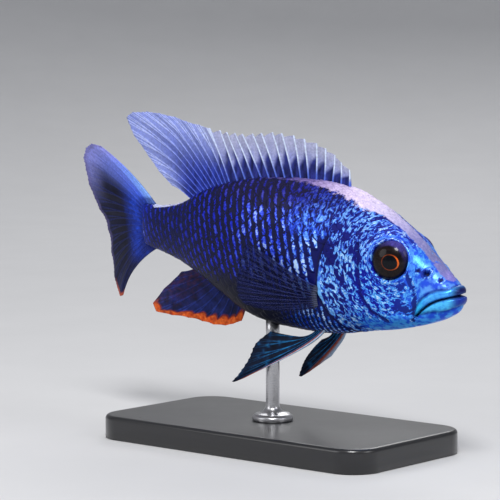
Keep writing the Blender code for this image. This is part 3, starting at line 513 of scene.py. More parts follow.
def crease_shade_at(x, y, z, lip_lines, behind):
    """Painted shade in the folds round the lips and in those behind them, painted shadow and dark
    membrane in the gap behind the gill cover, and painted shade in the nostrils and pores.
    """
    mouth, fold, edge = lip_lines
    # Painted shade along the lip folds and the mouth slit.
    lips = 0.75 * bell(fold, 0.4) + 0.5 * bell(edge, 0.45)
    lips = np.clip(lips * (x > 54.0) + bell(mouth, 0.4), 0, 1)
    # Gap behind the gill cover's edge: painted shadow, partly the dark membrane inside it.
    crease_shade = ramp(-0.2, 0.1, behind) * ramp(1.2, 0.6, behind) * ramp(11, 8, z)
    # Painted shade along the jaw fold and the preorbital and preopercle grooves.
    for line, width, weight in (
        (JAW_FOLD, 0.45, 0.5 * ramp(-11.6, -9.4, z)), (PREORBITAL, 0.5, 0.4), (PREOPERCLE, 0.5, 0.7),
    ):
        crease_shade = np.maximum(crease_shade, weight * bell(from_line(x, z, line), width))
    # Painted shade in the hollows of the nostril and pores.
    hole_shade = bell(from_spot(x, z, NOSTRIL), 0.85)
    for pore in PORES:
        hole_shade = np.maximum(hole_shade, 0.9 * bell(from_spot(x, z, pore), 0.5))
    return lips, crease_shade, hole_shade * ramp(1.0, 2.5, y)


def skin_colours(points):
    """The attributes that the hide's material reads at each point of the straight fish."""
    x, y, z = parts(points)
    dark, bright, share = tints(x, z)
    *lip_lines, upper, lower, _ = lip_masks(x, z)
    rear, tip = ramp(58.5, 56.0, x), ramp(63.6, 65.7, x)
    for lip, tint, tip_tint in (
        (upper, (74, 172, 250), (24, 28, 88)), (lower, (80, 192, 252), (32, 58, 160)),
    ):
        lip = lip**0.4
        tint = layered(tint, (rear, (48, 186, 250)), (tip, tip_tint))
        bright, dark = blend(lip, bright, tint), blend(lip, dark, tint * 0.35)
        share = share * (1 - lip) + 1.6 * lip
    ring = bell(from_eye(points) - RING_REACH, 0.75) * ramp(-8.0, 3.0, z + 0.5 * (x - EYE_X))
    bright = blend(ring * 0.8, bright, (78, 142, 248))
    share = np.maximum(share, 0.78 * ring)
    for *spot, reach in DARK_PATCHES:
        share = share - 1.1 * bell(from_spot(x, z, spot), reach)
    behind = from_line(x, z, GILL_LINE)
    share = share + 0.5 * bell(behind + 0.7, 0.5) * ramp(2, -1, z) * ramp(-10, -7, z)
    # Painted shade in the creases and the gill gap in dark navy, and in the nostril and pore hollows
    # near black.
    lips, crease_shade, hole_shade = crease_shade_at(x, y, z, lip_lines, behind)
    share = share * (1 - crease_shade) - 0.6 * crease_shade - 1.2 * hole_shade
    crease_shade = np.maximum(crease_shade, lips)
    dark = layered(dark, (crease_shade * 0.7, (12, 14, 52)), (hole_shade, (12, 10, 16)))
    bright = blend(np.maximum(crease_shade, hole_shade) * 0.94, bright, dark)
    bars = ramp(-0.5, 0.5, behind) * (1 - 0.7 * ramp(7, 13, z) * ramp(6, 17, x))
    pale, pale_tint = blaze_at(x, y, z)
    return {
        "dark": dark, "bright": bright, "pale": pale_tint, "lie": lie_of(points),
        "cover": stack(share, bars, pale * (1 - crease_shade)), "rest": points,
    }


# Meshes


def mesh_of(name, points, quads, triangles=(), attributes=None, corner_uv=None):
    """Smooth mesh with colour and vector attributes and its OFBake unwrap."""
    mesh = bpy.data.meshes.new(name)
    quads = np.asarray(quads, np.int32).reshape(-1, 4)
    triangles = np.asarray(triangles, np.int32).reshape(-1, 3)
    corners = np.concatenate([quads.ravel(), triangles.ravel()])
    starts = np.concatenate([
        np.arange(len(quads)) * 4, len(quads) * 4 + np.arange(len(triangles)) * 3,
    ]).astype(np.int32)
    mesh.vertices.add(len(points))
    mesh.vertices.foreach_set("co", np.asarray(points, np.float32).ravel())
    mesh.loops.add(len(corners))
    mesh.loops.foreach_set("vertex_index", corners)
    mesh.polygons.add(len(starts))
    mesh.polygons.foreach_set("loop_start", starts)
    mesh.update(calc_edges=True)
    mesh.shade_smooth()
    for key, values in (attributes or {}).items():
        values = np.asarray(values, np.float32).reshape(len(points), -1)
        kind, field = ("FLOAT_COLOR", "color") if key in COLOURS else ("FLOAT_VECTOR", "vector")
        if key in COLOURS and values.shape[1] == 3:
            values = np.insert(values, 3, 1.0, axis=1)
        mesh.attributes.new(key, kind, "POINT").data.foreach_set(field, values.ravel())
    if corner_uv is not None:
        layer = mesh.uv_layers.new(name="OFBake")
        layer.data.foreach_set("uv", np.asarray(corner_uv, np.float32).ravel())
    return mesh


def flip_if_inside_out(mesh):
    """Turns all faces round if the closed mesh has a negative volume."""
    check = bmesh.new()
    check.from_mesh(mesh)
    inside_out = check.calc_volume(signed=True) < 0
    check.free()
    if inside_out:
        mesh.flip_normals()


def tube_faces(rings, around):
    """Faces of a closed tube: quads between its rings, and a fan on a middle point at each end."""
    ring, column = np.divmod(np.arange((rings - 1) * around), around)
    beside = (column + 1) % around
    first, after = ring * around, (ring + 1) * around
    quads = stack(first + column, after + column, after + beside, first + beside)
    column = np.arange(around)
    beside = (column + 1) % around
    last = (rings - 1) * around
    front = stack(beside, rings * around, column)
    return quads, np.concatenate([front, stack(last + column, rings * around + 1, last + beside)])


def with_ends(grid, ends=None):
    """Rows of a grid of rings, then one for the middle of its first and of its last ring."""
    ends = grid[[0, -1]].mean(axis=1) if ends is None else ends
    return np.concatenate([grid.reshape(-1, grid.shape[-1]), ends])


def tube_mesh(name, grid, place, flat, unwrap, ends, seam=0.0):
    """Closed tube through a grid of rings, with place putting its points into the model.

    Ends are the middle points' places on the unwrap, where seam is one turn's length."""
    quads, triangles = tube_faces(*grid.shape[:2])
    uv = with_ends(unwrap, ends)[np.concatenate([quads.ravel(), triangles.ravel()])]
    quad_uv = uv[:quads.size].reshape(-1, 4, 2)
    fan_uv = uv[quads.size:].reshape(2, -1, 3, 2)
    quad_uv[np.ix_(quads[:, 3] % grid.shape[1] == 0, (2, 3), (1,))] += seam
    fan_uv[0, -1, 0, 1] += seam
    fan_uv[1, -1, 2, 1] += seam
    flat = {key: with_ends(value) for key, value in flat.items()}
    mesh = mesh_of(name, place(with_ends(grid)), quads, triangles, flat, uv)
    flip_if_inside_out(mesh)
    return mesh


def sheet_mesh(name, front, back, flat, unwraps):
    """Closed thin sheets joined in one mesh: each has a front grid, a back grid and a rim.

    The first axis counts the sheets. unwraps are the places of both grids on the unwrap."""
    count, columns, rows = front.shape[:3]
    size = columns * rows
    index = np.arange(size).reshape(columns, rows)
    cell = stack(index[:-1, :-1], index[1:, :-1], index[1:, 1:], index[:-1, 1:]).reshape(-1, 4)
    rim = np.concatenate([index[0, :-1], index[:-1, -1], index[-1, :0:-1], index[:0:-1, 0]])
    after = np.roll(rim, -1)
    faces = np.concatenate([cell, cell[:, ::-1] + size, stack(rim, after, after + size, rim + size)])
    spots = np.concatenate([cell, cell[:, ::-1] + size, np.repeat(rim[:, None], 4, axis=1)])
    faces = faces + np.arange(count)[:, None, None] * 2 * size
    uv = np.stack(unwraps, axis=1).reshape(count, 2 * size, 2)[:, spots]
    flat = {key: np.repeat(value[:, None], 2, axis=1) for key, value in flat.items()}
    return mesh_of(name, to_row(np.stack([front, back], axis=1)), faces, (), flat, uv)


def link(name, data):
    made = bpy.data.objects.new(name, data)
    bpy.context.scene.collection.objects.link(made)
    return made


def add_piece(name, mesh, material, nodes=()):
    """Object that rides on the model's one body, with its finish and the solids it stands for."""
    piece = link(name, mesh)
    mesh.materials.append(material)
    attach(piece, "root")
    if nodes:
        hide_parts(*nodes)


def skin_rings():
    """Stations of the skin's rings, close together on the head."""
    stations = np.linspace(0.03, LAST_STATION, 4000)
    lines = [body_point(stations, angle) for angle in (math.pi / 2, 0.0, -math.pi / 2)]
    step = np.max([np.linalg.norm(np.diff(line, axis=0), axis=1) for line in lines], axis=0)
    rings = np.cumsum(step / np.where(lines[1][1:, 0] > FINE_TO_X, HEAD_STEP, TRUNK_STEP))
    at = np.linspace(0, rings[-1], int(rings[-1]))
    return np.interp(at, np.concatenate([[0], rings]), stations)


def skin_unwrap(station, angle):
    """Place on the skin's unwrap: along the body, and round it from the middle of the belly."""
    turn = np.mod(angle / (2 * np.pi) + 0.25, 1.0)
    return stack(0.02 + 0.96 * station / LAST_STATION, 0.02 + SKIN_TURN * turn)


def make_skin(material):
    """One closed skin over the head, jaws, gill covers, trunk and tail stem."""
    even = np.linspace(0, 2 * np.pi, SKIN_AROUND, endpoint=False) - np.pi / 2
    station, angle = np.meshgrid(skin_rings(), even - 0.15 * np.sin(2 * even), indexing="ij")
    smooth = body_point(station, angle)
    rise = relief(smooth) - skin_inset(smooth[..., 0])
    points = smooth + body_normal(station, angle) * rise[..., None]
    flat = skin_colours(smooth)
    flat["scale"] = np.broadcast_to((0.5, 0.0, 0.5), points.shape)
    unwrap, ends = skin_unwrap(station, angle), ((0.012, 0.5), (0.988, 0.5))
    mesh = tube_mesh("skin", points, to_row, flat, unwrap, ends, SKIN_TURN)
    add_piece("skin", mesh, material, (
        "head", "upper_jaw", "lower_jaw", "gill_cover_left", "gill_cover_right", "trunk",
        "tail_stem",
    ))


# Scales


class FlankMap:
    """Finds the body's angle at a distance along its surface from the line of its widest points."""

    def __init__(self):
        self.stations = np.linspace(4.0, LAST_STATION, 500)
        self.side_x = body_point(self.stations, 0.0)[:, 0]
        self.share = np.linspace(0, 1, 160)
        self.reach, self.angles = {}, {}
        quarter = np.linspace(0, np.pi / 2, 120)
        for sign in (1, -1):
            grid = body_point(self.stations[:, None], sign * quarter[None, :])
            steps = np.linalg.norm(np.diff(grid, axis=1), axis=-1)
            run = np.insert(np.cumsum(steps, axis=1), 0, 0.0, axis=1)
            self.reach[sign] = run[:, -1]
            self.angles[sign] = np.array([
                np.interp(self.share * row[-1], row, sign * quarter) for row in run
            ])

    def station_of(self, x):
        return np.interp(-x, -self.side_x, self.stations)

    def limits(self, station):
        """Distance along the surface to the middle of the back and of the belly."""
        return [np.interp(station, self.stations, self.reach[sign]) for sign in (1, -1)]

    def angle_of(self, station, away):
        place = np.interp(station, self.stations, np.arange(len(self.stations)))
        low = np.clip(place.astype(int), 0, len(self.stations) - 2)
        part = place - low
        found = []
        for sign, reach in zip((1, -1), self.limits(station)):
            t = np.clip(np.abs(away) / reach, 0, 1) * (len(self.share) - 1)
            i = np.clip(t.astype(int), 0, len(self.share) - 2)
            f, table = t - i, self.angles[sign]
            near = table[low, i] * (1 - f) + table[low, i + 1] * f
            far = table[low + 1, i] * (1 - f) + table[low + 1, i + 1] * f
            found.append(near * (1 - part) + far * part)
        return np.where(away >= 0, *found)

    def turned(self, side, x, away):
        """Station and angle at a place of the left or right flank."""
        station = self.station_of(x)
        angle = self.angle_of(station, away)
        return station, angle if side > 0 else np.pi - angle


def scale_roots(flank, kind, keep):
    """Root places of scales in leaning columns set half a step off each other."""
    front, rear, front_step, rear_step = kind["columns"]
    rows = np.arange(-40, 41)
    x, number, roots = front, 0, []
    while True:
        pitch = float(np.interp(-x, *kind["rows"]))
        away = (rows + 0.5 * (number % 2)) * pitch
        at_x = x - kind["lean"] * away
        up, down = flank.limits(flank.station_of(at_x))
        inside = (away < up - 0.15 * pitch) & (away > -down + 0.15 * pitch)
        inside &= (at_x < FIRST_SCALE_X) & (at_x > LAST_SCALE_X)
        roots.append(stack(at_x, away, pitch)[inside])
        if x <= rear:
            break
        x = x - front_step - (rear_step - front_step) * (front - x) / (front - rear)
        number += 1
    roots = np.concatenate(roots)
    station = flank.station_of(roots[:, 0])
    return roots[keep(body_point(station, flank.angle_of(station, roots[:, 1])))]


def make_scales(name, side, flank, roots, kind, seed, material):
    """Thin overlapping vanes, one for each root, joined in one mesh."""
    chance = np.random.default_rng(seed).random((len(roots), 4)).T[..., None, None]
    root_x, root_away, pitch = roots.T[..., None, None]
    across = kind["across"]
    u, v = np.meshgrid(np.linspace(0, 1, across), np.linspace(-1, 1, across), indexing="ij")
    long = np.interp(-root_x, *kind["long"]) * (0.95 + 0.1 * chance[0])
    wide = pitch * kind["wide"] * (0.96 + 0.08 * chance[1])
    end = 1 - 0.30 * np.abs(v) ** 2.6
    off = wide / 2 * v * (0.82 + 0.18 * np.sin(np.pi * u**0.8))
    x = root_x - long * u * end - kind["lean"] * off
    away = root_away + off + (chance[2] - 0.5) * 0.12 * long * u
    station, angle = flank.turned(side, x, away)
    smooth, normal = body_point(station, angle), body_normal(station, angle)
    rise = relief(smooth) - skin_inset(smooth[..., 0]) - SCALE_SUNK
    rise = rise + kind["lift"] * u**1.2 * (0.85 + 0.3 * chance[3]) - 0.1 * v**2 * u
    thick = SCALE_THICK - SCALE_TAPER * u
    top, under = (smooth + normal * height[..., None] for height in (rise + thick, rise))
    colours = skin_colours(smooth)
    colours["scale"] = stack(u * np.sqrt(end), v, chance[0])
    at = skin_unwrap(*flank.turned(side, roots[:, 0], roots[:, 1]))[:, None, None]
    upper = np.stack(np.indices(u.shape), axis=-1) / (across - 1) - 0.5
    unwraps = at + upper * PATCH, at + (upper + (0.0, 1.2)) * PATCH
    mesh = sheet_mesh(name, top, under, colours, unwraps)
    add_piece(name, mesh, material)


def regions(spot):
    """How far a place lies behind the gill gap, and if it is on the body, breast and nape."""
    x, z = spot[:, 0], spot[:, 2]
    behind = from_line(x, z, GILL_LINE)
    body = (behind > 0.3) & (np.abs(from_line(x, z, PECTORAL_BASE)) > 2.0)
    breast = (x > 7) & (z < -11.5 - 0.12 * (24 - x))
    nape = (x > 15) & (z > 15.5 - 0.35 * (x - 24))
    return behind, body, breast, nape


def keep_trunk(spot):
    _, body, breast, nape = regions(spot)
    return body & ~breast & ~nape


def keep_small(spot):
    """Small scales cover the breast, nape, gill cover, cheek and temple."""
    x, z = spot[:, 0], spot[:, 2]
    behind, body, breast, nape = regions(spot)
    off_fold = np.abs(from_line(x, z, PREOPERCLE)) > 0.9
    cover = (behind < -2.2) & (z > -15) & (z <= 12) & (x < 40) & off_fold
    cheek = (x > 36) & (x < 48.5) & (z < 1) & (z > -9.5 + 0.3 * (x - 42)) & off_fold
    temple = (x > 28) & (x < 44) & (z > 3)
    head = (nape & (x < 44)) | cover | cheek | temple
    return (head & (from_eye(spot) > 7.6) & (z > -14)) | (body & breast)


def make_all_scales(material):
    flank = FlankMap()
    groups = [
        (word, kind, scale_roots(flank, kind, keep))
        for word, kind, keep in (
            ("trunk", TRUNK_SCALES, keep_trunk), ("head", SMALL_SCALES, keep_small),
        )
    ]
    for side, side_word, seed in ((1, "left", 11), (-1, "right", 12)):
        for word, kind, roots in groups:
            name = f"scales_{word}_{side_word}"
            make_scales(name, side, flank, roots, kind, seed + kind["seed"], material)


# Materials


class Shader:
    """Builds a material's nodes in short calls."""

    def __init__(self, name):
        self.material = bpy.data.materials.new(name)
        self.material.use_nodes = True
        self.tree = self.material.node_tree

    def feed(self, node, given):
        for key, value in given.items():
            if isinstance(value, bpy.types.NodeSocket):
                self.tree.links.new(value, node.inputs[key])
            else:
                node.inputs[key].default_value = value

    def node(self, kind, *values, given=None, **settings):
        """Outputs of a new node. Its inputs are given in order, or by name or number."""
        made = self.tree.nodes.new(kind)
        for key, value in settings.items():
            setattr(made, key, value)
        self.feed(made, given or dict(enumerate(values)))
        return made.outputs

    def attribute(self, name, kind="Vector"):
        return self.node("ShaderNodeAttribute", attribute_name=name)[kind]

    def place(self):
        return self.node("ShaderNodeTexCoord")["Object"]

    def split(self, vector):
        return self.node("ShaderNodeSeparateXYZ", vector)

    def math(self, operation, first, second=0.0, third=0.0, clamp=False):
        kind = "ShaderNodeMath"
        return self.node(kind, first, second, third, operation=operation, use_clamp=clamp)[0]

    def times(self, first, second, clamp=False):
        return self.math("MULTIPLY", first, second, clamp=clamp)

    def add(self, first, second):
        return self.math("ADD", first, second)

    def fit(self, value, by, plus):
        return self.math("MULTIPLY_ADD", value, by, plus)

    def away(self, value, middle):
        return self.math("ABSOLUTE", self.math("SUBTRACT", value, middle))

    def step(self, value, low, high, to_low=0.0, to_high=1.0):
        kind, smooth = "ShaderNodeMapRange", "SMOOTHSTEP"
        return self.node(kind, value, low, high, to_low, to_high, interpolation_type=smooth)[0]

    def mix(self, share, first, second):
        given = {0: share, 6: first, 7: second}
        return self.node("ShaderNodeMix", given=given, data_type="RGBA")[2]

    def mix_value(self, share, first, second):
        given = {0: share, 2: first, 3: second}
        return self.node("ShaderNodeMix", given=given, data_type="FLOAT")[0]

    def vector(self, first, second):
        return self.node("ShaderNodeVectorMath", first, second, operation="MULTIPLY")[0]

    def shade(self, colour, scale):
        given = {0: colour, "Scale": scale}
        return self.node("ShaderNodeVectorMath", given=given, operation="SCALE")[0]

    def noise(self, vector, scale, detail, roughness, distortion=0.0):
        return self.node("ShaderNodeTexNoise", given={
            "Vector": vector, "Scale": scale, "Detail": detail, "Roughness": roughness,
            "Distortion": distortion,
        })["Fac"]

    def bump(self, height, strength, distance, normal=None):
        given = {"Strength": strength, "Distance": distance, "Height": height}
        if normal is not None:
            given["Normal"] = normal
        return self.node("ShaderNodeBump", given=given)[0]

    def set(self, **sockets):
        names = {
            "colour": "Base Color", "roughness": "Roughness", "metallic": "Metallic",
            "coat": "Coat Weight", "coat_roughness": "Coat Roughness", "normal": "Normal",
            "alpha": "Alpha", "specular": "Specular IOR Level",
        }
        given = {names[key]: value for key, value in sockets.items()}
        self.feed(self.tree.nodes["Principled BSDF"], given)
        return self.material


def scale_bar(make, rest, share):
    """Level of the upright bars: one on each scale, and one where a scale's root lies open."""
    along, across, random = make.split(make.attribute("scale"))
    place = make.add(along, make.fit(make.noise(rest, 0.9, 3.0, 0.6), 0.30, -0.15))
    short = make.fit(random, 0.22, make.fit(share, -1.6, 1.92))
    v = make.math("POWER", make.times(make.math("ABSOLUTE", across), short), 3.0)
    taper = make.math("SQRT", make.math("SUBTRACT", 1.0, v, clamp=True))
    half = make.times(make.fit(share, 0.38, -0.06), make.fit(random, 0.4, 0.8))
    crumb = make.fit(make.noise(rest, 2.2, 2.0, 0.6), 0.20, -0.10)
    half = make.times(make.add(half, crumb), taper)
    nearest = make.math("MINIMUM", make.away(place, 0.74), make.away(place, 0.22))
    bar = make.times(make.math("SUBTRACT", half, nearest), 15.0, clamp=True)
    # A bar's brightness varies by chance and rises with the share, so it also carries the painted
    # light of the front.
    shine = make.add(make.fit(random, 0.4, -1.13), make.times(share, 3.3))
    shine = make.add(shine, make.step(make.noise(rest, 0.35, 4.0, 0.7), 0.38, 0.62, -0.35, 0.45))
    bar = make.times(bar, make.step(make.noise(rest, 1.5, 2.0, 0.6), 0.38, 0.48, 0.2, 1.0))
    return make.times(bar, shine, clamp=True)


def head_arcs(make, lie, rest, share):
    """Level of the head's pattern: patches in arcs round the eye, cut by dark winding lines.

    Where the share is high, as on the snout and lips, the pattern is calmer and has no lines."""
    threshold = make.fit(share, -0.30, 0.645)
    above = make.math("SUBTRACT", make.noise(lie, 1.22, 1.2, 0.5, 1.0), threshold)
    level = make.fit(above, 7.5, 0.27)
    # The brightest patches are lifted above 0.8, where the hide lays its painted highlight.
    highlight_core = make.step(level, 0.9, 1.7, 0.0, 0.22)
    level = make.add(make.math("MINIMUM", make.math("MAXIMUM", level, 0.0), 0.8), highlight_core)
    worm = make.away(make.noise(lie, 1.2, 1.0, 0.5, 1.6), 0.5)
    level = make.times(level, make.step(worm, 0.005, 0.04, 0.12, 1.0))
    thread = make.away(make.noise(lie, 2.3, 1.0, 0.5, 0.8), 0.5)
    level = make.times(level, make.step(thread, 0.0, 0.035, 0.42, 1.0))
    soft = make.step(make.noise(rest, 0.5, 1.6, 0.5, 0.3), 0.3, 0.68, 0.3, 0.76)
    level = make.mix_value(make.step(share, 0.60, 0.74), level, soft)
    plain = make.step(make.noise(rest, 0.9, 2.0, 0.5), 0.34, 0.6, 0.56, 0.76)
    return make.mix_value(make.step(share, 0.85, 1.2), level, plain)


def hide_material():
    """Skin and scales: dark blue ground, bright arcs on the head, a bright bar on each scale, and a
    painted highlight on the brightest of them.
    """
    make = Shader("hide")
    lie, rest = make.attribute("lie"), make.attribute("rest")
    share, bars, blaze = make.split(make.attribute("cover"))
    dark, bright = make.attribute("dark", "Color"), make.attribute("bright", "Color")
    level = make.mix_value(bars, head_arcs(make, lie, rest, share), scale_bar(make, rest, share))
    middle = make.vector(bright, (0.16, 0.22, 0.72))
    colour = make.mix(make.step(level, 0.02, 0.22), dark, middle)
    colour = make.mix(make.step(level, 0.34, 0.74), colour, bright)
    # Painted highlight: near white cyan laid on the brightest patches and bars where the share is
    # high.
    painted_highlight = make.times(make.step(share, 0.44, 0.54, 0.0, 0.8), make.step(level, 0.84, 1.0))
    colour = make.mix(painted_highlight, colour, (*linear((202, 232, 255)), 1))

    ragged = make.fit(make.noise(rest, 0.55, 4.0, 0.65), 1.5, -0.75)
    pale = make.step(make.add(blaze, ragged), 0.38, 0.66)
    mottle = make.noise(rest, 1.3, 3.0, 0.6)
    tint = make.attribute("pale", "Color")
    tint = make.mix(make.step(mottle, 0.36, 0.60, 0.24, 0.0), tint, dark)
    tint = make.mix(make.step(mottle, 0.55, 0.8, 0.0, 0.25), tint, (*linear((240, 226, 252)), 1))
    colour = make.mix(make.times(pale, 0.94), colour, tint)

    lit = make.step(level, 0.2, 0.6)
    normal = make.bump(make.noise(rest, 3.5, 2.0, 0.5), 0.15, 0.0002)
    return make.set(
        colour=colour, roughness=make.fit(lit, -0.14, 0.46), metallic=make.times(lit, 0.3),
        specular=0.12, coat=0.04, coat_roughness=0.2, normal=make.bump(lit, 0.18, 0.00015, normal),
    )


def fin_material(name, see_through):
    """Fin: painted membrane and rays, with fine cross lines along the rays."""
    make = Shader(name)
    paint = make.node("ShaderNodeAttribute", attribute_name="paint")
    run, ridge, _ = make.split(make.attribute("ray"))
    fleck = make.noise(make.attribute("rest"), 1.3, 3.0, 0.6)
    joints = make.times(make.math("SINE", make.times(run, 7.0)), ridge)
    normal = make.bump(fleck, 0.12, 0.0002, make.bump(joints, 0.12, 0.0001))
    colour = make.shade(paint["Color"], make.step(fleck, 0.3, 0.7, 0.78, 1.12))
    if see_through:
        make.set(alpha=paint["Alpha"])
    return make.set(colour=colour, roughness=0.46, specular=0.1, normal=normal)


# Fins


def flat_rays(roots, tips, bow):
    """Rays of an upright fin: each bows forward of the straight line to its tip."""
    rays = []
    for (root_x, root_z), (tip_x, tip_z), curve in zip(roots, tips, bow):
        root, tip = np.array([root_x, 0.0, root_z]), np.array([tip_x, 0.0, tip_z])
        lean = np.array([tip_z - root_z, 0.0, root_x - tip_x]) * curve
        reach = (tip - root) / 3
        rays.append(np.array([root, root + reach + lean, tip - reach + lean, tip]))
    return np.array(rays)


def dorsal_rays():
    number = np.arange(SPINES + SOFT_RAYS)
    spine_x = np.linspace(DORSAL_FIRST, DORSAL_LAST_SPINE, SPINES)
    soft_x = np.linspace(DORSAL_LAST_SPINE, DORSAL_END, SOFT_RAYS + 1)[1:]
    root_x = np.concatenate([spine_x, soft_x])
    roots = stack(root_x, outline_height(root_x, math.pi / 2) + FIN_GAP)
    tips = smooth_through(DORSAL_KNOTS, DORSAL_TIPS, number)
    return flat_rays(roots, tips, np.where(number < SPINES, DORSAL_BOW, SOFT_BOW))


def anal_rays():
    root_x = np.linspace(ANAL_FRONT, ANAL_END, ANAL_COUNT)
    roots = stack(root_x, outline_height(root_x, -math.pi / 2) - FIN_GAP)
    tips = smooth_through(ANAL_KNOTS, ANAL_TIPS, np.arange(ANAL_COUNT))
    return flat_rays(roots, tips, np.full(ANAL_COUNT, ANAL_BOW))


def tail_rays():
    number = np.arange(TAIL_COUNT)
    roots = stack(*(np.interp(number, TAIL_ROOT_KNOTS, line) for line in zip(*TAIL_ROOTS)))
    tips = smooth_through(TAIL_KNOTS, TAIL_TIPS, number)
    return flat_rays(roots, tips, np.linspace(TAIL_BOW_TOP, TAIL_BOW_LOW, TAIL_COUNT))


def paired_rays(side, base, tips, curve):
    """Rays of a paired fin, from roots just off the flank."""
    lift, first_share, second_share, ease, sag = curve
    rays = []
    for number, tip in enumerate(tips):
        part = number / (len(tips) - 1)
        station, angle = on_flank(*(np.array(base[0]) * (1 - part) + np.array(base[1]) * part))
        normal = body_normal(station, angle)
        root = body_point(station, angle) + normal * PAIRED_FIN_GAP
        first = root + normal * lift + (tip - root) * first_share
        second = root + (tip - root) * second_share + normal * ease + np.array(sag)
        rays.append(np.array([root, first, second, tip]) * (1, side, 1))
    return np.array(rays)


def ray_ridges(number, t, soft):
    """How far a place lies on a ray or on one of its branches, from 0 to 1."""
    off = number - np.round(number)
    width = (0.13 - 0.06 * t) * (1 - 0.4 * soft * t)
    fork = 0.22 * ramp(0.3, 1.0, t) * soft
    second = 0.10 * ramp(0.62, 1.0, t) * soft
    branches = ((-1, -1), (-1, 1), (1, -1), (1, 1))
    return np.max([bell(off - a * fork - b * second, width) for a, b in branches], axis=0)


def make_fin(node, rays, steps, rows, notch, wave, half, paint, material, spines=0, out=None):
    """Closed sheet with a ridge along each ray, painted by a function of place in the fin.

    half: half the thickness of a ray at root and tip, and of the web at root and edge."""
    count = len(rays)
    number = np.linspace(0, count - 1, (count - 1) * steps + 1)
    guides = smooth_through(range(count), rays.reshape(count, -1), number).reshape(-1, 1, 4, 3)
    length = np.linalg.norm(guides[:, :, 3] - guides[:, :, 0], axis=-1)
    start = -FIN_SUNK / length
    t = start + (1 - notch(number)[:, None] - start) * np.linspace(0, 1, rows)
    t4 = t[..., None]
    centre = (
        guides[:, :, 0] * (1 - t4) ** 3 + 3 * guides[:, :, 1] * t4 * (1 - t4) ** 2
        + 3 * guides[:, :, 2] * t4 * t4 * (1 - t4) + guides[:, :, 3] * t4**3
    )
    if out is None:
        normal = np.cross(np.gradient(centre, axis=0), np.gradient(centre, axis=1))
        normal /= np.linalg.norm(normal, axis=-1, keepdims=True)
    else:
        normal = np.broadcast_to(np.array(out, float), centre.shape)
    run, t_in = length * t, t.clip(0, 1)
    number = np.broadcast_to(number[:, None], t.shape)
    ridge = ray_ridges(number, t_in, ramp(spines - 1.2, spines - 0.6, number))
    pleat = wave * np.cos(np.pi * number) * ramp(0.0, 0.8, t)
    pleat = pleat + 0.5 * wave * (value_noise(centre, 6.0, 3) - 0.5) * ramp(0.1, 0.9, t)
    centre = centre + normal * pleat[..., None]
    ray_root, ray_tip, web_root, web_edge = half
    web = web_root + (web_edge - web_root) * t_in
    ray = ray_root + (ray_tip - ray_root) * t_in
    thick = normal * (web + (ray - web) * ridge)[..., None]
    flat = {
        "paint": paint(number, t_in, ridge, centre, run[:, -1:] - run)[None],
        "ray": stack(run, ridge, t)[None], "rest": centre[None],
    }
    column, row = np.indices(t.shape)
    along = stack(column / (t.shape[0] - 1), row / (rows - 1))[None] * (0.47, 0.96)
    name = node.replace("fin", "fin_fine")
    unwraps = along + (0.01, 0.02), along + (0.52, 0.02)
    mesh = sheet_mesh(name, (centre + thick)[None], (centre - thick)[None], flat, unwraps)
    flip_if_inside_out(mesh)
    add_piece(name, mesh, material, (node,))


def with_cover(colour, alpha):
    """Adds how far each colour hides what lies behind it."""
    return np.concatenate([colour, np.broadcast_to(alpha, colour.shape[:-1])[..., None]], axis=-1)


def paint_dorsal(number, t, ridge, place, left):
    """Grey translucent spiny part with dark flames at its foot, blue soft part pale at its tip."""
    off = number - np.floor(number)
    noise, fine = value_noise(place, 2.2, 1), value_noise(place * (1, 1, 0.35), 0.9, 8)
    flame = ramp(0.52, 0.30, t + 0.34 * (off - 0.5) + 0.22 * (noise - 0.5))
    spiny = layered(
        blend(ramp(0.15, 0.95, t), (112, 122, 196), (166, 170, 208)),
        (fine * 0.35, (205, 208, 235)),
        (flame, blend(fine, (16, 20, 62), (50, 58, 146))),
        (ramp(0.35, 0.8, ridge), blend(ramp(0.05, 0.5, t), (92, 118, 222), (214, 228, 252))),
    )
    soft = layered(
        blend(fine, (24, 32, 96), (44, 62, 168)),
        (ramp(0.1, 0.9, t), (140, 156, 234)),
        (ramp(0.3, 0.8, ridge), blend(ramp(0.0, 0.9, t), (74, 98, 216), (186, 198, 248))),
    )
    alpha = 0.97 - 0.30 * ramp(0.35, 0.8, t) * (1 - ridge)
    return with_cover(blend(ramp(SPINES - 2.5, SPINES + 1.5, number), spiny, soft), alpha)


def paint_anal(number, t, ridge, place, left):
    """Near black with blue rays, an orange seam with a ragged inner edge along its lower side."""
    noise, fine = value_noise(place, 1.6, 2), value_noise(place, 0.7, 9)
    inner = left - 0.9 * np.abs(np.sin(np.pi * number)) - 1.3 * (noise - 0.5)
    on_seam = ramp(8.4, 7.7, number)
    orange = blend(fine, (196, 60, 14), (242, 120, 50))
    orange = blend(ramp(0.55, 0.85, noise) * 0.6, orange, (130, 36, 20))
    return with_cover(layered(
        blend(noise, (10, 15, 40), (26, 38, 104)),
        (ramp(0.3, 0.8, ridge) * 0.6 * noise, (44, 66, 160)),
        (ramp(5.0, 10.0, number) * fine**2 * 0.5, (96, 40, 36)),
        (ramp(3.8, 2.6, inner) * on_seam, (128, 44, 34)),
        (ramp(2.7, 1.9, inner) * on_seam, orange),
    ), 0.97)


